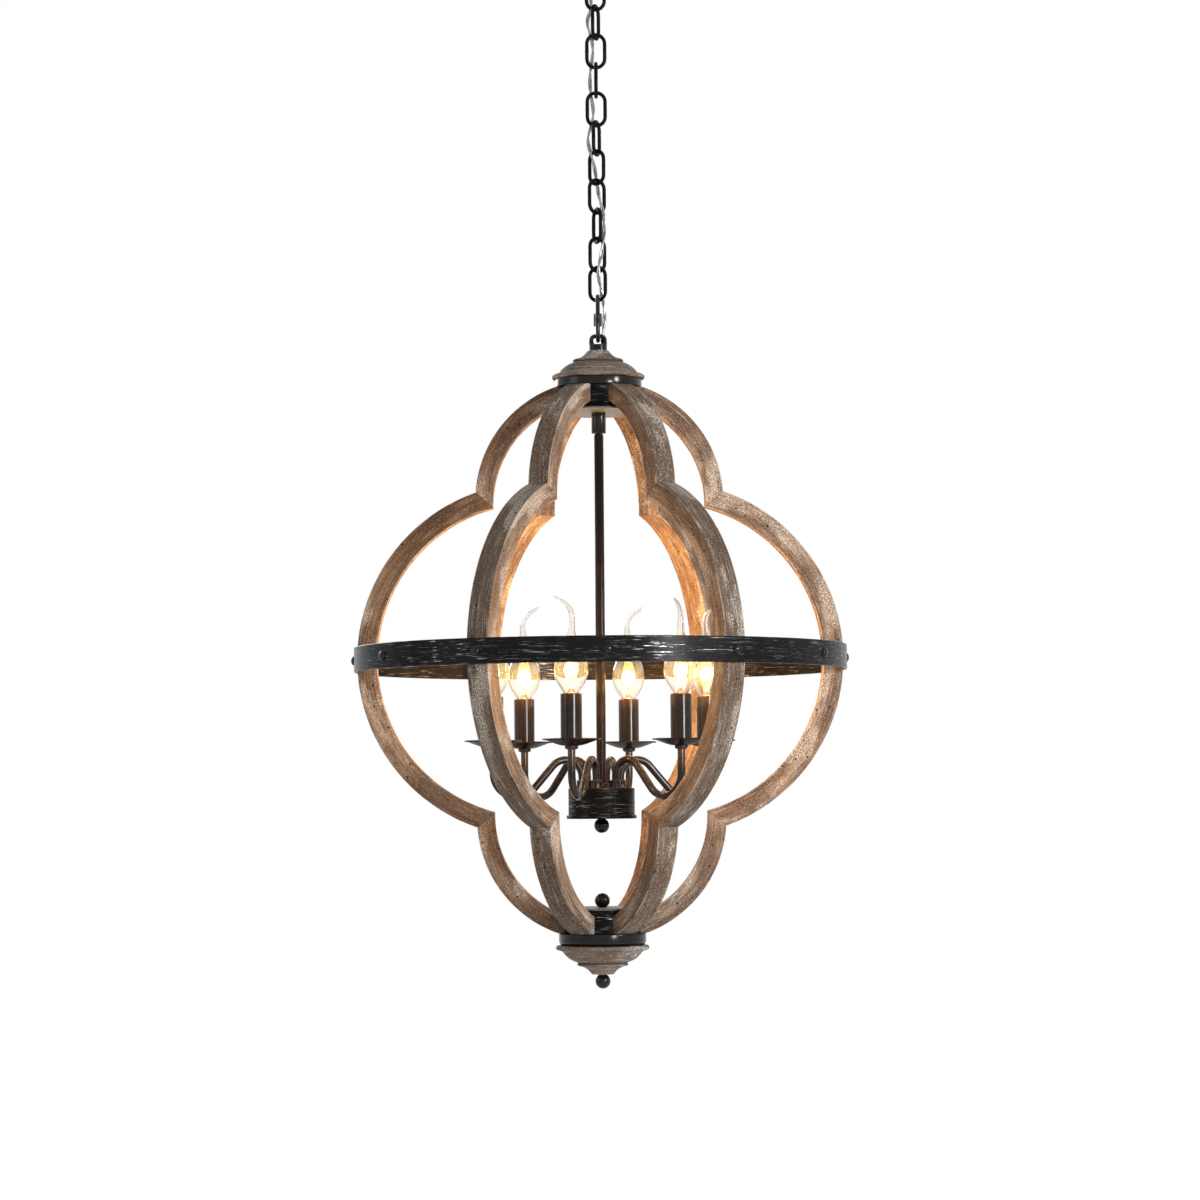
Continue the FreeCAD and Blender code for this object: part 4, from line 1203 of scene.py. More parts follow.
@dataclass
class Flex:
    """The clear twin flex woven down the chain, cut into one piece for each joint of the chain."""

    strand: float = 1.12
    spacing: float = 1.08
    turns_per_metre: float = 21.0
    first: float = -69.3
    pitch: float = 31.3
    top: float = -13.3
    woven: tuple[tuple[float, float, float], ...] = (
        (0.45, 140, 7.6), (1.0, 135, 7.2), (1.5, 128, 6.6), (2.0, 178, 10.0), (2.5, 128, 6.8), (3.0, 112, 6.4),
        (3.5, 135, 7.6), (4.0, 158, 7.2), (4.5, 135, 7.6), (5.0, 115, 6.4), (5.5, 128, 6.8), (6.0, 180, 10.0),
        (6.5, 193, 6.6), (7.0, 141, 2.6), (7.5, 88, 6.4), (8.0, 35, 2.6), (8.5, -16, 6.6), (9.0, 8, 8.0),
        (9.5, -16, 6.8), (10.0, -48, 6.8), (10.5, -87, 6.4), (11.0, -30, 2.6), (11.5, 32, 6.6),
        (12.1, 22, 8.6),
    )

    def route(self) -> list[Vector]:
        """The route's corner points, as the CAD source places them.

        Returns:
            The points in metres.
        """
        points = [Vector((-7.5, 0, self.top)), Vector((-7.5, 0, -36.3))]
        for place, azimuth, distance in self.woven:
            a = math.radians(azimuth)
            height = self.first - (place - 1) * self.pitch
            points.append(Vector((distance * math.cos(a), distance * math.sin(a), height)))
        points.append(Vector((4.7, 4.5, STEM_FOOT + 15.5)))
        points.append(Vector((4.7, 4.5, STEM_FOOT + 1.5)))
        return [p * MM for p in points]

    def centreline(self) -> list[Vector]:
        """The smooth line that the route's points control.

        Returns:
            Points along the line.
        """
        curve = bpy.data.curves.new("flex_route", "CURVE")
        curve.dimensions = "3D"
        spline = curve.splines.new("NURBS")
        points = self.route()
        spline.points.add(len(points) - 1)
        for point, place in zip(spline.points, points):
            point.co = (*place, 1.0)
        spline.order_u = 3
        spline.use_endpoint_u = True
        spline.resolution_u = 10
        holder = bpy.data.objects.new("flex_route", curve)
        bpy.context.scene.collection.objects.link(holder)
        mesh = bpy.data.meshes.new_from_object(holder)
        line = [v.co.copy() for v in mesh.vertices]
        bpy.data.objects.remove(holder)
        return line

    def strand_piece(self, name: str, line: Sequence[Vector], side: float) -> bpy.types.Object:
        """One of the two strands, wound round the centreline.

        Args:
            name: The piece's name.
            line: The centreline.
            side: The strand's phase in turns.

        Returns:
            The strand as a mesh tube.
        """
        curve = bpy.data.curves.new(name, "CURVE")
        curve.dimensions = "3D"
        curve.bevel_depth = self.strand * MM
        curve.bevel_resolution = 2
        curve.use_fill_caps = True
        spline = curve.splines.new("POLY")
        spline.points.add(len(line) - 1)
        over = Vector((0, 1, 0))
        run = 0.0
        for i, place in enumerate(line):
            ahead = line[min(i + 1, len(line) - 1)] - line[max(i - 1, 0)]
            ahead.normalize()
            over = (over - ahead * over.dot(ahead)).normalized()
            across = ahead.cross(over)
            if i:
                run += (place - line[i - 1]).length
            a = 2 * math.pi * (run * self.turns_per_metre + side)
            offset = (over * math.cos(a) + across * math.sin(a)) * self.spacing * MM
            spline.points[i].co = (*(place + offset), 1.0)
        holder = bpy.data.objects.new(name, curve)
        bpy.context.scene.collection.objects.link(holder)
        pick(holder)
        bpy.ops.object.convert(target="MESH")
        piece = bpy.context.object
        bpy.ops.object.mode_set(mode="EDIT")
        finish_mesh()
        return piece

    def build(self) -> None:
        """Builds the flex and cuts it into one piece to each joint of the chain."""
        line = self.centreline()
        strands = [self.strand_piece("strand_a", line, 0.0), self.strand_piece("strand_b", line, 0.5)]
        whole = joined("flex_whole", strands)
        bodies = ["ceiling_fitting", *[f"link_{i:02d}" for i in range(1, 12)], "quick_link", "lamp"]
        middles = [self.first - i * self.pitch for i in range(11)]
        cuts = [0.0, *middles, -419.3, -470.0]
        for i, (parent, child) in enumerate(zip(bodies, bodies[1:])):
            piece = copied(whole, f"flex_{i + 1:02d}")
            self.trim(piece, cuts[i], cuts[i + 1])
            FINISHES.dress(piece, "strands")
            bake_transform(piece)
            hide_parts("power_cord")
            log.info("%s bends between %s and %s", piece.name, parent, child)
        removed(whole)

    def trim(self, piece: bpy.types.Object, top: float, foot: float) -> None:
        """Keeps only the stretch between two heights.

        Args:
            piece: The tube to cut.
            top: The upper height in millimetres.
            foot: The lower height in millimetres.
        """
        pick(piece)
        bpy.ops.object.mode_set(mode="EDIT")
        for height, above in ((top, True), (foot, False)):
            bpy.ops.mesh.select_all(action="SELECT")
            bpy.ops.mesh.bisect(
                plane_co=(0, 0, height * MM),
                plane_no=(0, 0, 1),
                use_fill=True,
                clear_outer=above,
                clear_inner=not above,
            )
        finish_mesh()


@dataclass
class Hubs:
    """The stem loop, turned caps, plates, drums, discs, coupler and balls on the cage's axis."""

    drum_top: float = 288.0
    drum_radius: float = 41.0
    drum_height: float = 24.5
    lip_radius: float = 43.4
    disc_radius: float = 48.0
    disc_thickness: float = 2.0
    plate_radius: float = 46.0
    plate_top: float = 301.0
    cap_foot: float = 297.0
    cap_height: float = 30.5
    ball_radius: float = 7.95
    ball_seat: float = 7.2
    eye_centre: float = -445.5

    def build(self) -> None:
        """Builds both hubs."""
        self.stem_loop()
        for half in Half:
            for piece, finish, node in (
                (self.cap(half), "turned_wood", "hub_caps"),
                (self.plate(half), "iron", "hub_plates"),
                (self.drum(half), "brushed", "hub_drums"),
                (self.disc(half), "disc", "hub_discs"),
            ):
                if half is Half.LOWER:
                    mirrored(piece)
                keep(piece, finish, "lamp", node)
        self.balls()
        FINISHES.dress(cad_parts["tie_rods"], "zinc")

    def stem_loop(self) -> None:
        """The ribbed barrel with an eye through its top."""
        foot = STEM_FOOT
        rings = [(9.0, foot), (9.5, foot + 0.5)]
        for i in range(4):
            z = foot + 0.9 + i * 1.3
            rings += [(9.5, z), (9.05, z + 0.3), (9.05, z + 0.7), (9.5, z + 1.0)]
        rings += [(9.4, foot + 6.2), (8.7, foot + 6.8), (6.0, foot + 7.0)]
        barrel = turned("stem_barrel", rings, 40)
        shoulder, corner = 7.25, 4.4
        top = shoulder - corner
        heavy = 2.9
        stations = [(shoulder - 0.65, foot + 0.6 - self.eye_centre, heavy, 0.0),
                    (shoulder - 0.55, top - 4.2, heavy, 0.0), (shoulder, top - 0.6, 2.3, 0.0)]
        stations += bend((shoulder - corner, top), corner, 0, 90, 2.25, 8)
        stations += bend((corner - shoulder, top), corner, 90, 90, 2.25, 8)
        stations += [(-shoulder, top - 0.6, 2.3, 180.0), (0.55 - shoulder, top - 4.2, heavy, 180.0),
                     (0.65 - shoulder, foot + 0.6 - self.eye_centre, heavy, 180.0)]
        eye = sweep("stem_eye", stations, 16)
        eye.scale = (1, 1.3, 1)
        placed(eye, (0, 0, 0), (0, 0, self.eye_centre))
        keep(joined("stem_loop_piece", [barrel, eye]), "iron", "lamp", "stem_loop")

    def cap(self, half: Half) -> bpy.types.Object:
        """A turned wood cap with rim, ogee dome, step and cove.

        Args:
            half: The hub it sits on.

        Returns:
            The cap, as on the upper side.
        """
        foot = MIDDLE + (self.cap_foot if half is Half.UPPER else self.plate_top)
        rings = [
            (44.0, 0.0), *arc_through((46.6, 0.1), (49.2, 2.5), (46.8, 4.9), 10),
            *arc_through((46.2, 5.2), (43.2, 6.2), (40.6, 8.6), 8), (40.2, 8.8), (40.2, 9.5),
            *arc_through((39.6, 9.9), (34.6, 14.3), (28.2, 17.4), 12), (27.0, 17.7), (26.2, 18.2), (26.0, 18.9),
            *arc_through((26.2, 19.2), (26.9, 20.2), (26.2, 21.2), 8), (25.4, 21.5),
            *arc_through((24.6, 21.7), (17.0, 24.8), (12.2, 29.6), 12), (11.4, 30.5),
        ]
        return turned(f"cap_{half.name.lower()}", [(min(r, 49.25), foot + z) for r, z in rings], 120)

    def plate(self, half: Half) -> bpy.types.Object:
        """A black plate with its edge rounded.

        Args:
            half: The hub it sits on.

        Returns:
            The plate, as on the upper side.
        """
        low, high = MIDDLE + self.drum_top, MIDDLE + self.plate_top
        r = self.plate_radius
        if half is Half.UPPER:
            shoulder = MIDDLE + self.cap_foot
            rings = [(r - 1.0, low), *arc((r - 1.0, low + 1.0), 1.0, -90, 0, 5), (r, shoulder - 1.0),
                     *arc((r - 1.0, shoulder - 1.0), 1.0, 0, 90, 5), (r - 3.0, shoulder), (r - 3.0, high)]
        else:
            rings = [(r - 1.5, low), *arc((r - 1.5, low + 1.5), 1.5, -90, 0, 6),
                     *arc((r - 4.6, high - 4.6), 4.6, 0, 90, 12)]
        return turned(f"plate_{half.name.lower()}", rings, 96)

    def drum(self, half: Half) -> bpy.types.Object:
        """A drum with fine turned ridges and a lip.

        Args:
            half: The hub it sits on.

        Returns:
            The drum, as on the upper side.
        """
        low, high = MIDDLE + self.drum_top - self.drum_height, MIDDLE + self.drum_top
        lip, r = self.lip_radius, self.drum_radius
        rings = [(lip - 1.0, low), *arc((lip - 0.8, low + 0.8), 0.8, -90, 0, 4),
                 *arc((lip - 0.8, low + 2.6), 0.8, 0, 90, 4), (r + 0.6, low + 3.5), (r, low + 4.2)]
        z = low + 4.9
        ridge = 0
        while z < high - 1.6:
            depth = (0.22, 0.34, 0.16, 0.28, 0.12)[ridge % 5]
            rings += [(r, z), (r - depth, z + 0.28), (r - depth, z + 0.42), (r, z + 0.7)]
            z += (1.25, 1.7, 1.05, 1.5)[ridge % 4]
            ridge += 1
        rings += [(r, high - 0.3), (r - 0.3, high)]
        return turned(f"drum_{half.name.lower()}", rings, 96)

    def disc(self, half: Half) -> bpy.types.Object:
        """The thin disc at the drum's inner end.

        Args:
            half: The hub it sits on.

        Returns:
            The disc, as on the upper side.
        """
        high = MIDDLE + self.drum_top - self.drum_height
        low = high - self.disc_thickness
        r = self.disc_radius
        rings = [(r - 1.2, low), (r - 0.3, low + 0.2), (r, low + 0.8), (r, high - 0.8), (r - 0.3, high - 0.2),
                 (r - 0.8, high)]
        return turned(f"disc_{half.name.lower()}", rings, 96)

    def ball(self, name: str, seat: float, way: int) -> bpy.types.Object:
        """A ball on a small turned foot.

        Args:
            name: The piece's name.
            seat: The height that it sits on.
            way: 1 above the seat, -1 below it.

        Returns:
            The ball.
        """
        r = self.ball_radius
        centre = self.ball_seat
        start = math.degrees(math.asin(centre / r))
        rings = [(r * math.cos(math.radians(start)), 0.0), *arc((0, centre), r, -start + 3, 89.5, 26)]
        ball = turned(name, [(a, seat + way * z) for a, z in rings], 40)
        return ball

    def balls(self) -> None:
        """The finials at the lower hub and under the candles."""
        seats = ((MIDDLE - 261.5, 1), (MIDDLE - self.plate_top - self.cap_height, -1), (-950.1, -1))
        for i, (seat, way) in enumerate(seats, 1):
            keep(self.ball(f"ball_{i}", seat, way), "iron", "lamp", "ball_finials")


@dataclass
class Cage:
    """Six ribs of three glued planks, the iron ring and its rivets."""

    thickness: float = 24.0
    belly_width: float = 21.0
    belly_radius: float = 187.0
    lobe_radius: float = 127.4
    lobe_inner_radius: float = 113.0
    reach: float = 256.35
    cusp: float = 176.6
    inner_cusp: float = 160.4
    drum_top: float = 287.95
    end_height: float = 18.2
    end_x: float = 39.15
    shoulder_x: float = 46.8
    band_radius: float = 260.0
    band_thickness: float = 3.0
    band_height: float = 26.0
    rivets: int = 12
    belly_steps: int = 44
    lobe_steps: int = 22

    def build(self) -> None:
        """Builds the ribs, ring and rivets."""
        self.ribs()
        self.ring()
        self.studs()

    def centres(self) -> tuple[tuple[float, float], tuple[float, float], tuple[float, float]]:
        """The centres of the belly's, the lobe's outer and the lobe's inner circle.

        Returns:
            Three points, x and height from the ring's plane.
        """
        belly = (self.reach - self.belly_radius, 0.0)
        outer = self.through((self.shoulder_x, self.drum_top), self.cusp_point(), self.lobe_radius)
        end_low = (self.end_x, self.drum_top - self.end_height)
        inner = self.through(end_low, self.inner_cusp_point(), self.lobe_inner_radius)
        return belly, outer, inner

    def cusp_point(self) -> tuple[float, float]:
        """Where lobe and belly meet on the outside.

        Returns:
            The point.
        """
        centre = self.reach - self.belly_radius
        return centre + math.sqrt(self.belly_radius**2 - self.cusp**2), self.cusp

    def inner_cusp_point(self) -> tuple[float, float]:
        """Where lobe and belly meet on the inside.

        Returns:
            The point.
        """
        centre = self.reach - self.belly_radius
        radius = self.belly_radius - self.belly_width
        return centre + math.sqrt(radius**2 - self.inner_cusp**2), self.inner_cusp

    @staticmethod
    def through(a: tuple[float, float], b: tuple[float, float], radius: float) -> tuple[float, float]:
        """The centre, nearer the axis, of a circle through two points.

        Args:
            a: The first point.
            b: The second point.
            radius: The circle's radius.

        Returns:
            The centre.
        """
        along = (b[0] - a[0], b[1] - a[1])
        length = math.hypot(*along)
        side = (-along[1] / length, along[0] / length)
        if side[0] > 0:
            side = (-side[0], -side[1])
        lift = math.sqrt(radius**2 - (length / 2) ** 2)
        return (a[0] + b[0]) / 2 + side[0] * lift, (a[1] + b[1]) / 2 + side[1] * lift

    def plank(
        self, name: str, outer: Sequence[tuple[float, float]], inner: Sequence[tuple[float, float]]
    ) -> bpy.types.Object:
        """A sawn plank drawn from section to section between an outer and an inner line.

        Args:
            name: The piece's name.
            outer: Points of the outer line.
            inner: Points of the inner line.

        Returns:
            The plank with rounded edges.
        """
        deselect()
        bpy.ops.mesh.primitive_plane_add(size=1)
        piece = bpy.context.object
        piece.name = name
        bpy.ops.object.mode_set(mode="EDIT")
        bpy.ops.mesh.select_all(action="SELECT")
        last: tuple[float, float, float, float] | None = None
        for (px, pz), (qx, qz) in zip(outer, inner):
            x, z = (px + qx) / 2 * MM, (pz + qz) / 2 * MM
            width = math.hypot(px - qx, pz - qz) * MM
            tilt = math.atan2(pz - qz, px - qx)
            if last is None:
                bpy.ops.transform.resize(value=(width, self.thickness * MM, 1), center_override=(0, 0, 0))
                bpy.ops.transform.rotate(value=tilt, orient_axis="Y", center_override=(0, 0, 0))
                bpy.ops.transform.translate(value=(x, 0, z))
            else:
                was_x, was_z, was_width, was_tilt = last
                step = (x - was_x, 0, z - was_z)
                bpy.ops.mesh.extrude_region_move(TRANSFORM_OT_translate={"value": step})
                bpy.ops.transform.rotate(value=-was_tilt, orient_axis="Y", center_override=(x, 0, z))
                bpy.ops.transform.resize(value=(width / was_width, 1, 1), center_override=(x, 0, z))
                bpy.ops.transform.rotate(value=tilt, orient_axis="Y", center_override=(x, 0, z))
            last = (x, z, width, tilt)
        finish_mesh()
        return bevelled(piece, 0.6, 2, 50)

    def mark_grain(
        self, piece: bpy.types.Object, outer: tuple[float, float], inner: tuple[float, float],
        radii: tuple[float, float], shift: float,
    ) -> None:
        """Writes how far each point is along the plank, and how near its edges.

        Args:
            piece: The plank, unturned.
            outer: Centre of the outer circle.
            inner: Centre of the inner circle.
            radii: The two circles' radii.
            shift: Added to the length, so that no two planks match.
        """
        mesh = piece.data
        grain = mesh.attributes.new("grain", "FLOAT_VECTOR", "POINT")
        rim = mesh.attributes.new("rim", "FLOAT_VECTOR", "POINT")
        for i, vertex in enumerate(mesh.vertices):
            x, y, z = (c / MM for c in vertex.co)
            z -= MIDDLE
            angle = math.atan2(z - outer[1], x - outer[0])
            below = radii[0] - math.hypot(x - outer[0], z - outer[1])
            above = math.hypot(x - inner[0], z - inner[1]) - radii[1]
            across = (above - below) / max(above + below, 1.0)
            grain.data[i].vector = (radii[0] * angle * MM + shift, (above - below) / 2 * MM, y * MM + shift)
            rim.data[i].vector = (across, y / (self.thickness / 2), 0.0)

    def ribs(self) -> None:
        """The six ribs, each a belly between two lobes."""
        belly_c, outer_c, inner_c = self.centres()
        cusp, inner_cusp = self.cusp_point(), self.inner_cusp_point()

        def angle(point: tuple[float, float], centre: tuple[float, float]) -> float:
            """Degrees of a point seen from a centre.

            Args:
                point: The point.
                centre: The centre.

            Returns:
                The angle.
            """
            return math.degrees(math.atan2(point[1] - centre[1], point[0] - centre[0]))

        high = angle(cusp, belly_c)
        low = angle(inner_cusp, belly_c)
        belly_inner = self.belly_radius - self.belly_width
        belly = self.plank(
            "belly_pattern",
            [(x, z + MIDDLE) for x, z in arc(belly_c, self.belly_radius, high, -high, self.belly_steps)],
            [(x, z + MIDDLE) for x, z in arc(belly_c, belly_inner, low, -low, self.belly_steps)],
        )
        end = (self.end_x, self.drum_top)
        shoulder = (self.shoulder_x, self.drum_top)
        end_low = (self.end_x, self.drum_top - self.end_height)
        bulge = arc(
            outer_c, self.lobe_radius, angle(shoulder, outer_c), angle(cusp, outer_c), self.lobe_steps - 1
        )
        outer = [end, *bulge]
        inner = arc(
            inner_c,
            self.lobe_inner_radius,
            angle(end_low, inner_c),
            angle(inner_cusp, inner_c),
            self.lobe_steps,
        )
        lobe = self.plank(
            "lobe_pattern", [(x, z + MIDDLE) for x, z in outer], [(x, z + MIDDLE) for x, z in inner]
        )
        for i in range(6):
            turn = CAGE_TURN + 180 + 60 * i
            shift = 1.7 * i
            plank = copied(belly, f"rib_{i + 1}_belly")
            self.mark_grain(plank, belly_c, belly_c, (self.belly_radius, belly_inner), shift)
            self.stand(plank, turn, i)
            radii = (self.lobe_radius, self.lobe_inner_radius)
            plank = copied(lobe, f"rib_{i + 1}_upper")
            self.mark_grain(plank, outer_c, inner_c, radii, shift + 0.6)
            self.stand(plank, turn, i)
            plank = copied(lobe, f"rib_{i + 1}_lower")
            self.mark_grain(plank, outer_c, inner_c, radii, shift + 1.2)
            mirrored(plank)
            self.stand(plank, turn, i)
        removed(belly)
        removed(lobe)

    @staticmethod
    def stand(plank: bpy.types.Object, turn: float, index: int) -> None:
        """Turns a plank to its azimuth and keeps it.

        Args:
            plank: The plank.
            turn: Degrees about Z.
            index: The rib's number, from zero.
        """
        placed(plank, (0, 0, turn), (0, 0, 0))
        keep(plank, "driftwood", "lamp", f"rib_{index + 1}")

    def ring(self) -> None:
        """The flat iron ring with softened edges."""
        half, soft = self.band_height / 2, 0.6
        r, inner = self.band_radius, self.band_radius - self.band_thickness
        rings = [(inner + soft, -half), (r - soft, -half), (r, -half + soft), (r, half - soft),
                 (r - soft, half), (inner + soft, half), (inner, half - soft), (inner, -half + soft)]
        band = turned("iron_ring", [(a, MIDDLE + z) for a, z in rings], 180, Closing.RING)
        keep(band, "brushed", "lamp", "ring_band")

    def studs(self) -> None:
        """The domed rivets round the ring."""
        dome = [(5.0, -0.6), (5.0, 0.25), *[(5.0 * math.cos(a), 0.3 + 3.05 * math.sin(a)) for a in
                (math.radians(6 + 8.2 * k) for k in range(11))]]
        pattern = turned("rivet_pattern", dome, 24)
        placed(pattern, (0, 90, 0), (self.band_radius, 0, MIDDLE))
        for i in range(self.rivets):
            stud = copied(pattern, f"rivet_{i + 1:02d}", CAGE_TURN + i * 360 / self.rivets)
            keep(stud, "iron", "lamp", "band_rivets")
        removed(pattern)


@dataclass
class CandleCluster:
    """The rod, the drum and the six arms with their cups, sleeves and sockets."""

    rod_radius: float = 5.0
    coupler_top: float = -520.3
    coupler_height: float = 22.0
    coupler_radius: float = 7.6
    drum_radius: float = 35.0
    drum_height: float = 28.5
    cover_radius: float = 37.0
    cover_thickness: float = 3.8
    arm_root: float = 21.0
    tube: float = 4.0
    hump: float = 18.0
    hump_rise: float = 29.8
    trough: float = 25.0
    trough_drop: float = 8.8
    cup_radius: float = 30.0
    cup_depth: float = 7.4
    sleeve: float = 11.0
    sleeve_wall: float = 1.2

    def build(self) -> None:
        """Builds the cluster."""
        self.centre_rod()
        self.drum()
        self.around(self.arm(), "arm", "bronze", "arms")
        self.around(self.ferrule(), "arm_ferrule", "bronze", "arm_ferrules")
        self.around(self.collar(), "arm_collar", "bronze", "arm_collars")
        self.around(self.cup(), "cup", "dish", "cups")
        self.around(self.tube_piece(), "sleeve", "bronze", "candle_sleeves")
        self.around(self.socket(), "socket", "holder", "sockets")

    def around(self, pattern: bpy.types.Object, name: str, finish: str, node: str) -> None:
        """Copies a pattern to the six arms.

        Args:
            pattern: The piece on the +X side.
            name: The copies' name.
            finish: Their finish.
            node: The CAD node that they stand for.
        """
        for i in range(6):
            keep(copied(pattern, f"{name}_{i + 1}", ARM_START + 60 * i), finish, "lamp", node)
        removed(pattern)

    def centre_rod(self) -> None:
        """The coupler under the upper drum and the rod that hangs from it."""
        top, r = self.coupler_top, self.coupler_radius
        foot = top - self.coupler_height
        rings = [(r - 0.8, foot), (r - 0.2, foot + 0.4), (r, foot + 1.0), (r, top - 3.2), (r - 0.35, top - 2.9),
                 (r - 0.35, top - 2.5), (r, top - 2.2), (r, top)]
        keep(turned("coupler", rings, 40), "iron", "lamp", "rod_coupler")
        q = self.rod_radius
        rings = [(q - 0.8, foot + 3.0), (q - 0.8, foot - 1.2), (q - 0.3, foot - 1.6), (q, foot - 2.3),
                 (q, CLUSTER_TOP + 6.0), (q + 1.8, CLUSTER_TOP + 5.6), (q + 2.4, CLUSTER_TOP + 4.8),
                 (q + 2.4, CLUSTER_TOP + 0.6), (q + 1.8, CLUSTER_TOP)]
        keep(turned("centre_rod", rings, 32), "rod", "lamp", "rod")

    def drum(self) -> None:
        """The drum that the arms stand on and its cover."""
        r, top = self.drum_radius, CLUSTER_TOP
        foot = top - self.drum_height
        rings = [(r - 1.6, foot), (r - 0.3, foot), (r, foot + 0.3)]
        for k in range(12):
            z = foot + 1.4 + k * 2.1
            depth = (0.14, 0.22, 0.1)[k % 3]
            rings += [(r, z), (r - depth, z + 0.3), (r - depth, z + 0.7), (r, z + 1.0)]
        rings += [*arc((r - 1.6, top - 1.6), 1.6, 0, 90, 6), (8.0, top)]
        keep(turned("cluster_drum_piece", rings, 80), "brushed", "lamp", "cluster_drum")
        r = self.cover_radius
        low = foot - self.cover_thickness
        rings = [(r - 6.0, low), (r - 1.4, low), *arc((r - 1.2, low + 1.2), 1.2, -90, 0, 5),
                 *arc((r - 1.2, foot - 1.2), 1.2, 0, 90, 5), (r - 4.0, foot)]
        keep(turned("cluster_cover_piece", rings, 80), "brushed", "lamp", "cluster_cover")

    def arm(self) -> bpy.types.Object:
        """One S-shaped tube.

        Returns:
            The arm on the +X side.
        """
        hump = (self.arm_root + self.hump, CLUSTER_TOP + self.hump_rise - self.hump)
        trough = (ARM_REACH - self.trough, CLUSTER_TOP - self.trough_drop + self.trough)
        between = (trough[0] - hump[0], trough[1] - hump[1])
        lean = math.asin((self.hump + self.trough) / math.hypot(*between))
        slope = math.atan2(between[1], between[0]) - lean
        fall = math.degrees(slope)
        stations: list[Station] = [(self.arm_root, CLUSTER_TOP, self.tube, 180.0)]
        stations += bend(hump, self.hump, 180, fall - 90, self.tube, 16)
        for x, z, wire, tilt in bend(trough, self.trough, fall - 90, 90 - fall, self.tube, 16):
            stations.append((x, z, wire, tilt + 180))
        stations.append((ARM_REACH, CUP_FLOOR - 4.0, self.tube, 180.0))
        return sweep("arm_pattern", stations, 20)

    def ferrule(self) -> bpy.types.Object:
        """The bush at an arm's root.

        Returns:
            The bush on the +X side.
        """
        bore = self.tube + 0.05
        rings = [(bore, 0.0), (6.6, 0.0), (6.8, 0.8), (6.2, 1.8), (5.6, 2.6), (5.6, 6.4), (5.9, 7.0), (5.8, 8.0),
                 (5.2, 8.5), (bore, 8.5)]
        rings = [(min(a, 5.8) if z > 2 else min(a, 5.8), z) for a, z in rings]
        piece = turned("ferrule_pattern", rings, 28, Closing.RING)
        return placed(piece, (0, 0, 0), (self.arm_root, 0, CLUSTER_TOP))

    def collar(self) -> bpy.types.Object:
        """The collar under a cup.

        Returns:
            The collar on the +X side.
        """
        rings = [(4.4, 0.0), (5.6, 0.3), (6.7, 1.4), (7.0, 2.4), (6.9, 3.4), (6.4, 4.0)]
        piece = turned("collar_pattern", rings, 28)
        return placed(piece, (0, 0, 0), (ARM_REACH, 0, CUP_FLOOR - 4.0))

    def cup(self) -> bpy.types.Object:
        """A shallow dish with a rolled rim.

        Returns:
            The dish on the +X side.
        """
        r, d = self.cup_radius, self.cup_depth
        under = [(0.3, 0.0), (8.0, 0.0), (10.5, 0.3), (15.0, 1.5), (20.0, 3.3), (25.0, 5.2), (28.2, 6.3)]
        lip = arc((r - 0.8, d - 0.8), 0.8, -60, 150, 7)
        inside = [(27.6, 7.0), (24.5, 6.1), (19.5, 4.3), (14.5, 2.6), (10.5, 1.5), (8.0, 1.3), (0.3, 1.3)]
        piece = turned("cup_pattern", [*under, *lip, *inside], 56)
        return placed(piece, (0, 0, 0), (ARM_REACH, 0, CUP_FLOOR))

    def tube_piece(self) -> bpy.types.Object:
        """A candle sleeve with a turned foot ring.

        Returns:
            The sleeve on the +X side.
        """
        r, w = self.sleeve, self.sleeve_wall
        foot, top = CUP_FLOOR + 1.7, SLEEVE_TOP
        rings = [(r - w, foot), (r + 1.6, foot + 0.1), (r + 1.8, foot + 1.2), (r + 1.2, foot + 2.6),
                 (r, foot + 3.4), (r, top - 0.5), (r - 0.4, top), (r - w + 0.2, top), (r - w, top - 0.3)]
        piece = turned("sleeve_pattern", rings, 40, Closing.RING)
        return placed(piece, (0, 0, 0), (ARM_REACH, 0, 0))

    def socket(self) -> bpy.types.Object:
        """The lampholder inside a sleeve.

        Returns:
            The lampholder on the +X side.
        """
        top = SLEEVE_TOP - 3.0
        foot = CUP_FLOOR + 1.4
        bore = 7.7
        rings = [(9.2, foot), (9.4, foot + 1.0), (9.4, top - 0.6), (9.0, top), (bore + 0.3, top),
                 (bore, top - 0.5), (bore, top - 23.6), (0.4, top - 23.9)]
        piece = turned("socket_pattern", rings, 32)
        return placed(piece, (0, 0, 0), (ARM_REACH, 0, 0))


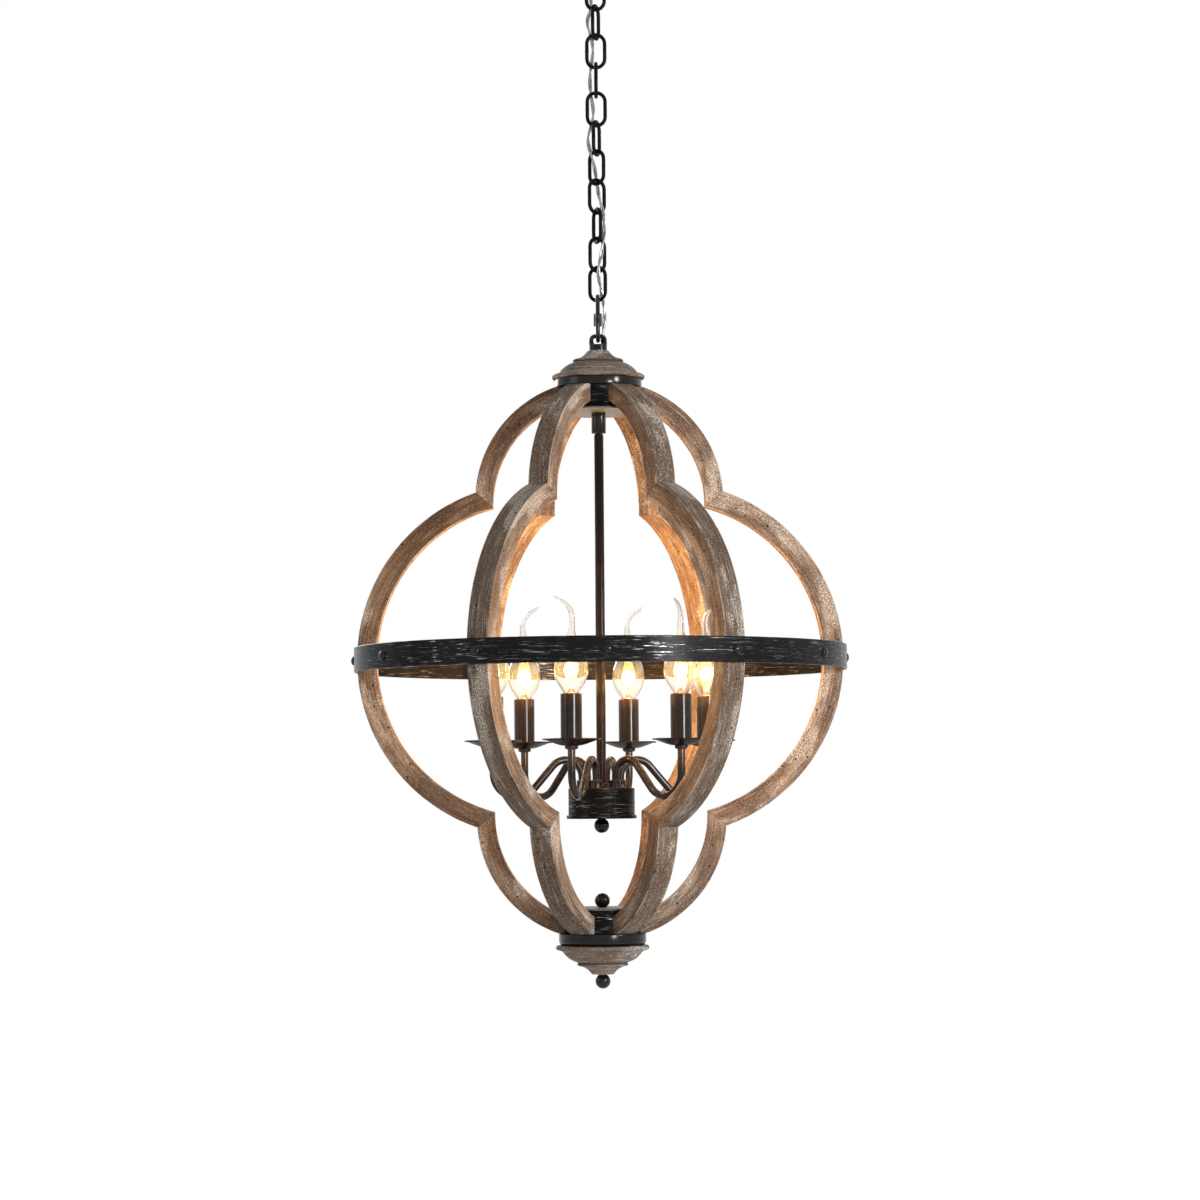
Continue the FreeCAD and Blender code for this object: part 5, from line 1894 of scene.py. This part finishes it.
@dataclass
class Bulbs:
    """Six bent-tip bulbs, each with glass, brass base, glass stem and hot wire."""

    radius: float = 17.5
    length: float = 100.0
    lean: float = 17.0
    base_radius: float = 7.0
    base_height: float = 20.7
    wall: float = 0.55
    curls: tuple[float, ...] = (178, 110, 20, -8, 5, 190)
    # Height, radius and lean of each ring, as shares of the bulb's own
    shares: tuple[tuple[float, float, float], ...] = (
        (0.0, 0.42, 0.0), (0.05, 0.60, 0.0), (0.12, 0.85, 0.0), (0.19, 0.975, 0.0), (0.25, 1.0, 0.0),
        (0.31, 0.975, 0.0), (0.36, 0.90, 0.0), (0.42, 0.77, 0.0), (0.48, 0.63, 0.0), (0.53, 0.48, 0.01),
        (0.58, 0.355, 0.02), (0.63, 0.275, 0.0), (0.68, 0.222, -0.04), (0.74, 0.185, -0.07),
        (0.80, 0.16, -0.08), (0.86, 0.142, 0.02), (0.91, 0.125, 0.24), (0.95, 0.105, 0.55),
        (0.982, 0.078, 0.84), (0.996, 0.045, 1.0),
    )

    def build(self) -> None:
        """Builds the bulbs and the small lights in them."""
        glass = self.glass()
        base = self.base()
        wire = self.wire()
        stem = self.stem()
        for i, curl in enumerate(self.curls):
            a = math.radians(ARM_START + 60 * i)
            place = (ARM_REACH * math.cos(a), ARM_REACH * math.sin(a), SLEEVE_TOP)
            body, node = f"bulb_{i + 1}_body", f"bulb_{i + 1}"
            keep(copied(glass, f"glass_{i + 1}", curl, place), "glass", body, node)
            keep(copied(base, f"bulb_base_{i + 1}", curl, place), "brass", body, node)
            keep(copied(wire, f"hot_wire_{i + 1}", curl, place), "glow", body, node)
            keep(copied(stem, f"glass_stem_{i + 1}", curl, place), "glass", body, node)
            self.light(i + 1, place, body)
        for pattern in (glass, base, wire, stem):
            removed(pattern)

    def glass(self) -> bpy.types.Object:
        """The bent-tip glass with its wall.

        Returns:
            The glass, its foot at the origin.
        """
        rings = smooth_profile(self.shares, 3)
        stations: list[Station] = []
        for i, (height, radius, lean) in enumerate(rings):
            before, after = rings[max(i - 1, 0)], rings[min(i + 1, len(rings) - 1)]
            rise = (after[0] - before[0]) * self.length
            shift = (after[2] - before[2]) * self.lean
            tilt = -math.degrees(math.atan2(shift, rise))
            stations.append((lean * self.lean, height * self.length, radius * self.radius, tilt))
        piece = sweep("glass_pattern", stations, 36)
        pick(piece)
        wall = piece.modifiers.new("wall", "SOLIDIFY")
        wall.thickness = self.wall * MM
        wall.offset = -1
        bpy.ops.object.modifier_apply(modifier=wall.name)
        bpy.ops.object.shade_smooth_by_angle(angle=SMOOTH_ANGLE)
        # how near each point is to the hot wire's height, which drives the glass's painted glow
        glow = piece.data.attributes.new("glow", "FLOAT", "POINT")
        for i, vertex in enumerate(piece.data.vertices):
            glow.data[i].value = math.exp(-(((vertex.co.z / MM - 24) / 17) ** 2))
        return piece

    def base(self) -> bpy.types.Object:
        """The screw base with rolled threads and its contact.

        Returns:
            The base below the origin.
        """
        r, h = self.base_radius, self.base_height
        rings = [(1.6, -h), (2.6, -h + 0.9), (5.0, -h + 2.2), (r - 0.9, -h + 3.2)]
        for k in range(5):
            z = -h + 4.2 + k * 2.6
            rings += [(r - 0.75, z), (r - 0.1, z + 0.8), (r - 0.1, z + 1.3), (r - 0.75, z + 2.1)]
        rings += [(r - 0.2, -1.6), (r, -1.0), (r, 0.0), (r - 0.3, 0.6), (r - 1.5, 0.8)]
        return turned("base_pattern", rings, 32)

    def wire(self) -> bpy.types.Object:
        """The hot wire, a tall narrow loop.

        Returns:
            The wire in the glass.
        """
        stations: list[Station] = [(-3.4, 17.0, 0.5, 0.0), (-3.2, 24.0, 0.55, -2.0)]
        stations += [(x, z, 0.62, tilt - 180) for x, z, _, tilt in bend((0, 27.0), 3.0, 180, -180, 0.6, 10)]
        stations += [(3.2, 24.0, 0.55, -178.0), (3.4, 17.0, 0.5, -180.0)]
        return sweep("wire_pattern", stations, 10)

    def stem(self) -> bpy.types.Object:
        """The glass stem that holds the wire.

        Returns:
            The stem in the glass.
        """
        rings = [(4.6, 0.9), (3.4, 3.0), (2.3, 6.0), (1.9, 10.0), (2.3, 12.5), (1.5, 14.4), (0.4, 15.2)]
        return turned("stem_pattern", smooth_profile(rings, 3), 20)

    def light(self, index: int, place: Sequence[float], body: str) -> None:
        """A small warm light at the hot wire.

        Args:
            index: The bulb's number.
            place: The glass foot in millimetres.
            body: The bulb's body.
        """
        lamp = bpy.data.lights.new(f"candle_{index}", "POINT")
        lamp.color = (1.0, 0.53, 0.17)
        lamp.energy = 1.15
        lamp.shadow_soft_size = 0.008
        holder = bpy.data.objects.new(f"candle_{index}", lamp)
        holder.location = [place[0] * MM, place[1] * MM, (place[2] + 24) * MM]
        bpy.context.scene.collection.objects.link(holder)
        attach(holder, body)


@dataclass
class Studio:
    """The camera, the floor and the soft lights."""

    camera_distance: float = 3.55
    camera_height: float = -0.926
    pitch: float = 3.335
    roll: float = -0.45
    lens: float = 100.8
    floor_height: float = -2.3
    floor_size: float = 10.0
    floor_lift: float = 0.62
    edge_lift: float = 0.2
    shadow_reach: float = 0.8
    white_from: float = 4.2

    def build(self) -> None:
        """Sets up the studio."""
        self.camera()
        self.floor()
        self.world()
        self.softbox("key", (2.3, -1.95, -0.15), (0, 0, -0.78), 0.42, 42.0)
        self.softbox("glint", (1.55, -2.57, -0.66), (0, 0, -0.78), 0.5, 46.0)
        self.softbox("fill", (-2.8, -1.1, -0.2), (0, 0, -0.78), 1.2, 8.0)
        self.softbox("back", (-1.5, 2.4, 0.3), (0, 0, -0.78), 1.3, 26.0)

    def camera(self) -> None:
        """The camera at the photograph's angle."""
        data = bpy.data.cameras.new("camera")
        data.lens = self.lens
        data.sensor_width = 36
        data.clip_start = 0.05
        data.clip_end = 40
        camera = bpy.data.objects.new("camera", data)
        camera.location = (0, -self.camera_distance, self.camera_height)
        tilt = Matrix.Rotation(math.radians(90 + self.pitch), 4, "X")
        camera.rotation_euler = (tilt @ Matrix.Rotation(math.radians(self.roll), 4, "Z")).to_euler()
        bpy.context.scene.collection.objects.link(camera)
        bpy.context.scene.camera = camera

    def floor(self) -> None:
        """A plain pale floor that renders white and keeps the lamp's shadow."""
        deselect()
        bpy.ops.mesh.primitive_plane_add(size=self.floor_size, location=(0, 0, self.floor_height))
        floor = bpy.context.object
        floor.name = "floor"
        settle(floor)
        material, desk, shader = new_material("pale_floor")
        shader.inputs["Base Color"].default_value = (0.82, 0.82, 0.82, 1)
        shader.inputs["Roughness"].default_value = 0.7
        paths = desk.node("ShaderNodeLightPath").outputs
        seen = desk.math("ADD", paths["Is Camera Ray"], paths["Is Transmission Ray"], clamp=True)
        seen = desk.math("ADD", seen, paths["Is Glossy Ray"], clamp=True)
        place = desk.node("ShaderNodeTexCoord").outputs["Object"]
        reach = desk.node("ShaderNodeVectorMath", {0: place}, operation="LENGTH").outputs["Value"]
        edge = desk.math("MULTIPLY", desk.mask(reach, self.shadow_reach, self.white_from), self.edge_lift)
        glow = desk.math("ADD", edge, self.floor_lift)
        lift = desk.node("ShaderNodeEmission", {0: (1, 1, 1), 1: desk.math("MULTIPLY", seen, glow)})
        mixed = desk.node("ShaderNodeAddShader", {0: shader.outputs[0], 1: lift.outputs[0]})
        sheet = next(n for n in material.node_tree.nodes if n.type == "OUTPUT_MATERIAL")
        desk.feed(sheet.inputs["Surface"], mixed.outputs[0])
        floor.data.materials.append(material)

    def world(self) -> None:
        """A pale world, white to the camera."""
        world = bpy.data.worlds.new("studio")
        bpy.context.scene.world = world
        world.use_nodes = True
        desk = Desk(world.node_tree)
        dim = next(n for n in world.node_tree.nodes if n.type == "BACKGROUND")
        dim.inputs[0].default_value = (1, 1, 1, 1)
        dim.inputs[1].default_value = 0.24
        paths = desk.node("ShaderNodeLightPath").outputs
        seen = desk.math("ADD", paths["Is Camera Ray"], paths["Is Transmission Ray"], clamp=True)
        seen = desk.math("ADD", seen, paths["Is Glossy Ray"], clamp=True)
        plain = desk.node("ShaderNodeBackground", {0: (1, 1, 1), 1: 1.0})
        mixed = desk.node("ShaderNodeMixShader", {0: seen, 1: dim.outputs[0], 2: plain.outputs[0]})
        sheet = next(n for n in world.node_tree.nodes if n.type == "OUTPUT_WORLD")
        desk.feed(sheet.inputs["Surface"], mixed.outputs[0])

    @staticmethod
    def softbox(name: str, place: Sequence[float], aim: Sequence[float], size: float, power: float) -> None:
        """A square soft light.

        Args:
            name: The light's name.
            place: Where it stands, in metres.
            aim: What it points at.
            size: Its side in metres.
            power: Its power in watts.
        """
        lamp = bpy.data.lights.new(name, "AREA")
        lamp.size = size
        lamp.energy = power
        holder = bpy.data.objects.new(name, lamp)
        holder.location = place
        holder.rotation_euler = (Vector(aim) - Vector(place)).to_track_quat("-Z", "Y").to_euler()
        bpy.context.scene.collection.objects.link(holder)


def main() -> None:
    """Builds the studio and every sub-assembly in order."""
    logging.basicConfig(level=logging.INFO, format="%(name)s: %(message)s")
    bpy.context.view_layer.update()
    bpy.context.scene.view_settings.view_transform = "Standard"
    for assembly in (Studio(), CeilingFitting(), Chain(), Flex(), Hubs(), Cage(), CandleCluster(), Bulbs()):
        assembly.build()
        log.info("%s is built", type(assembly).__name__)


if __name__ == "__main__":
    main()
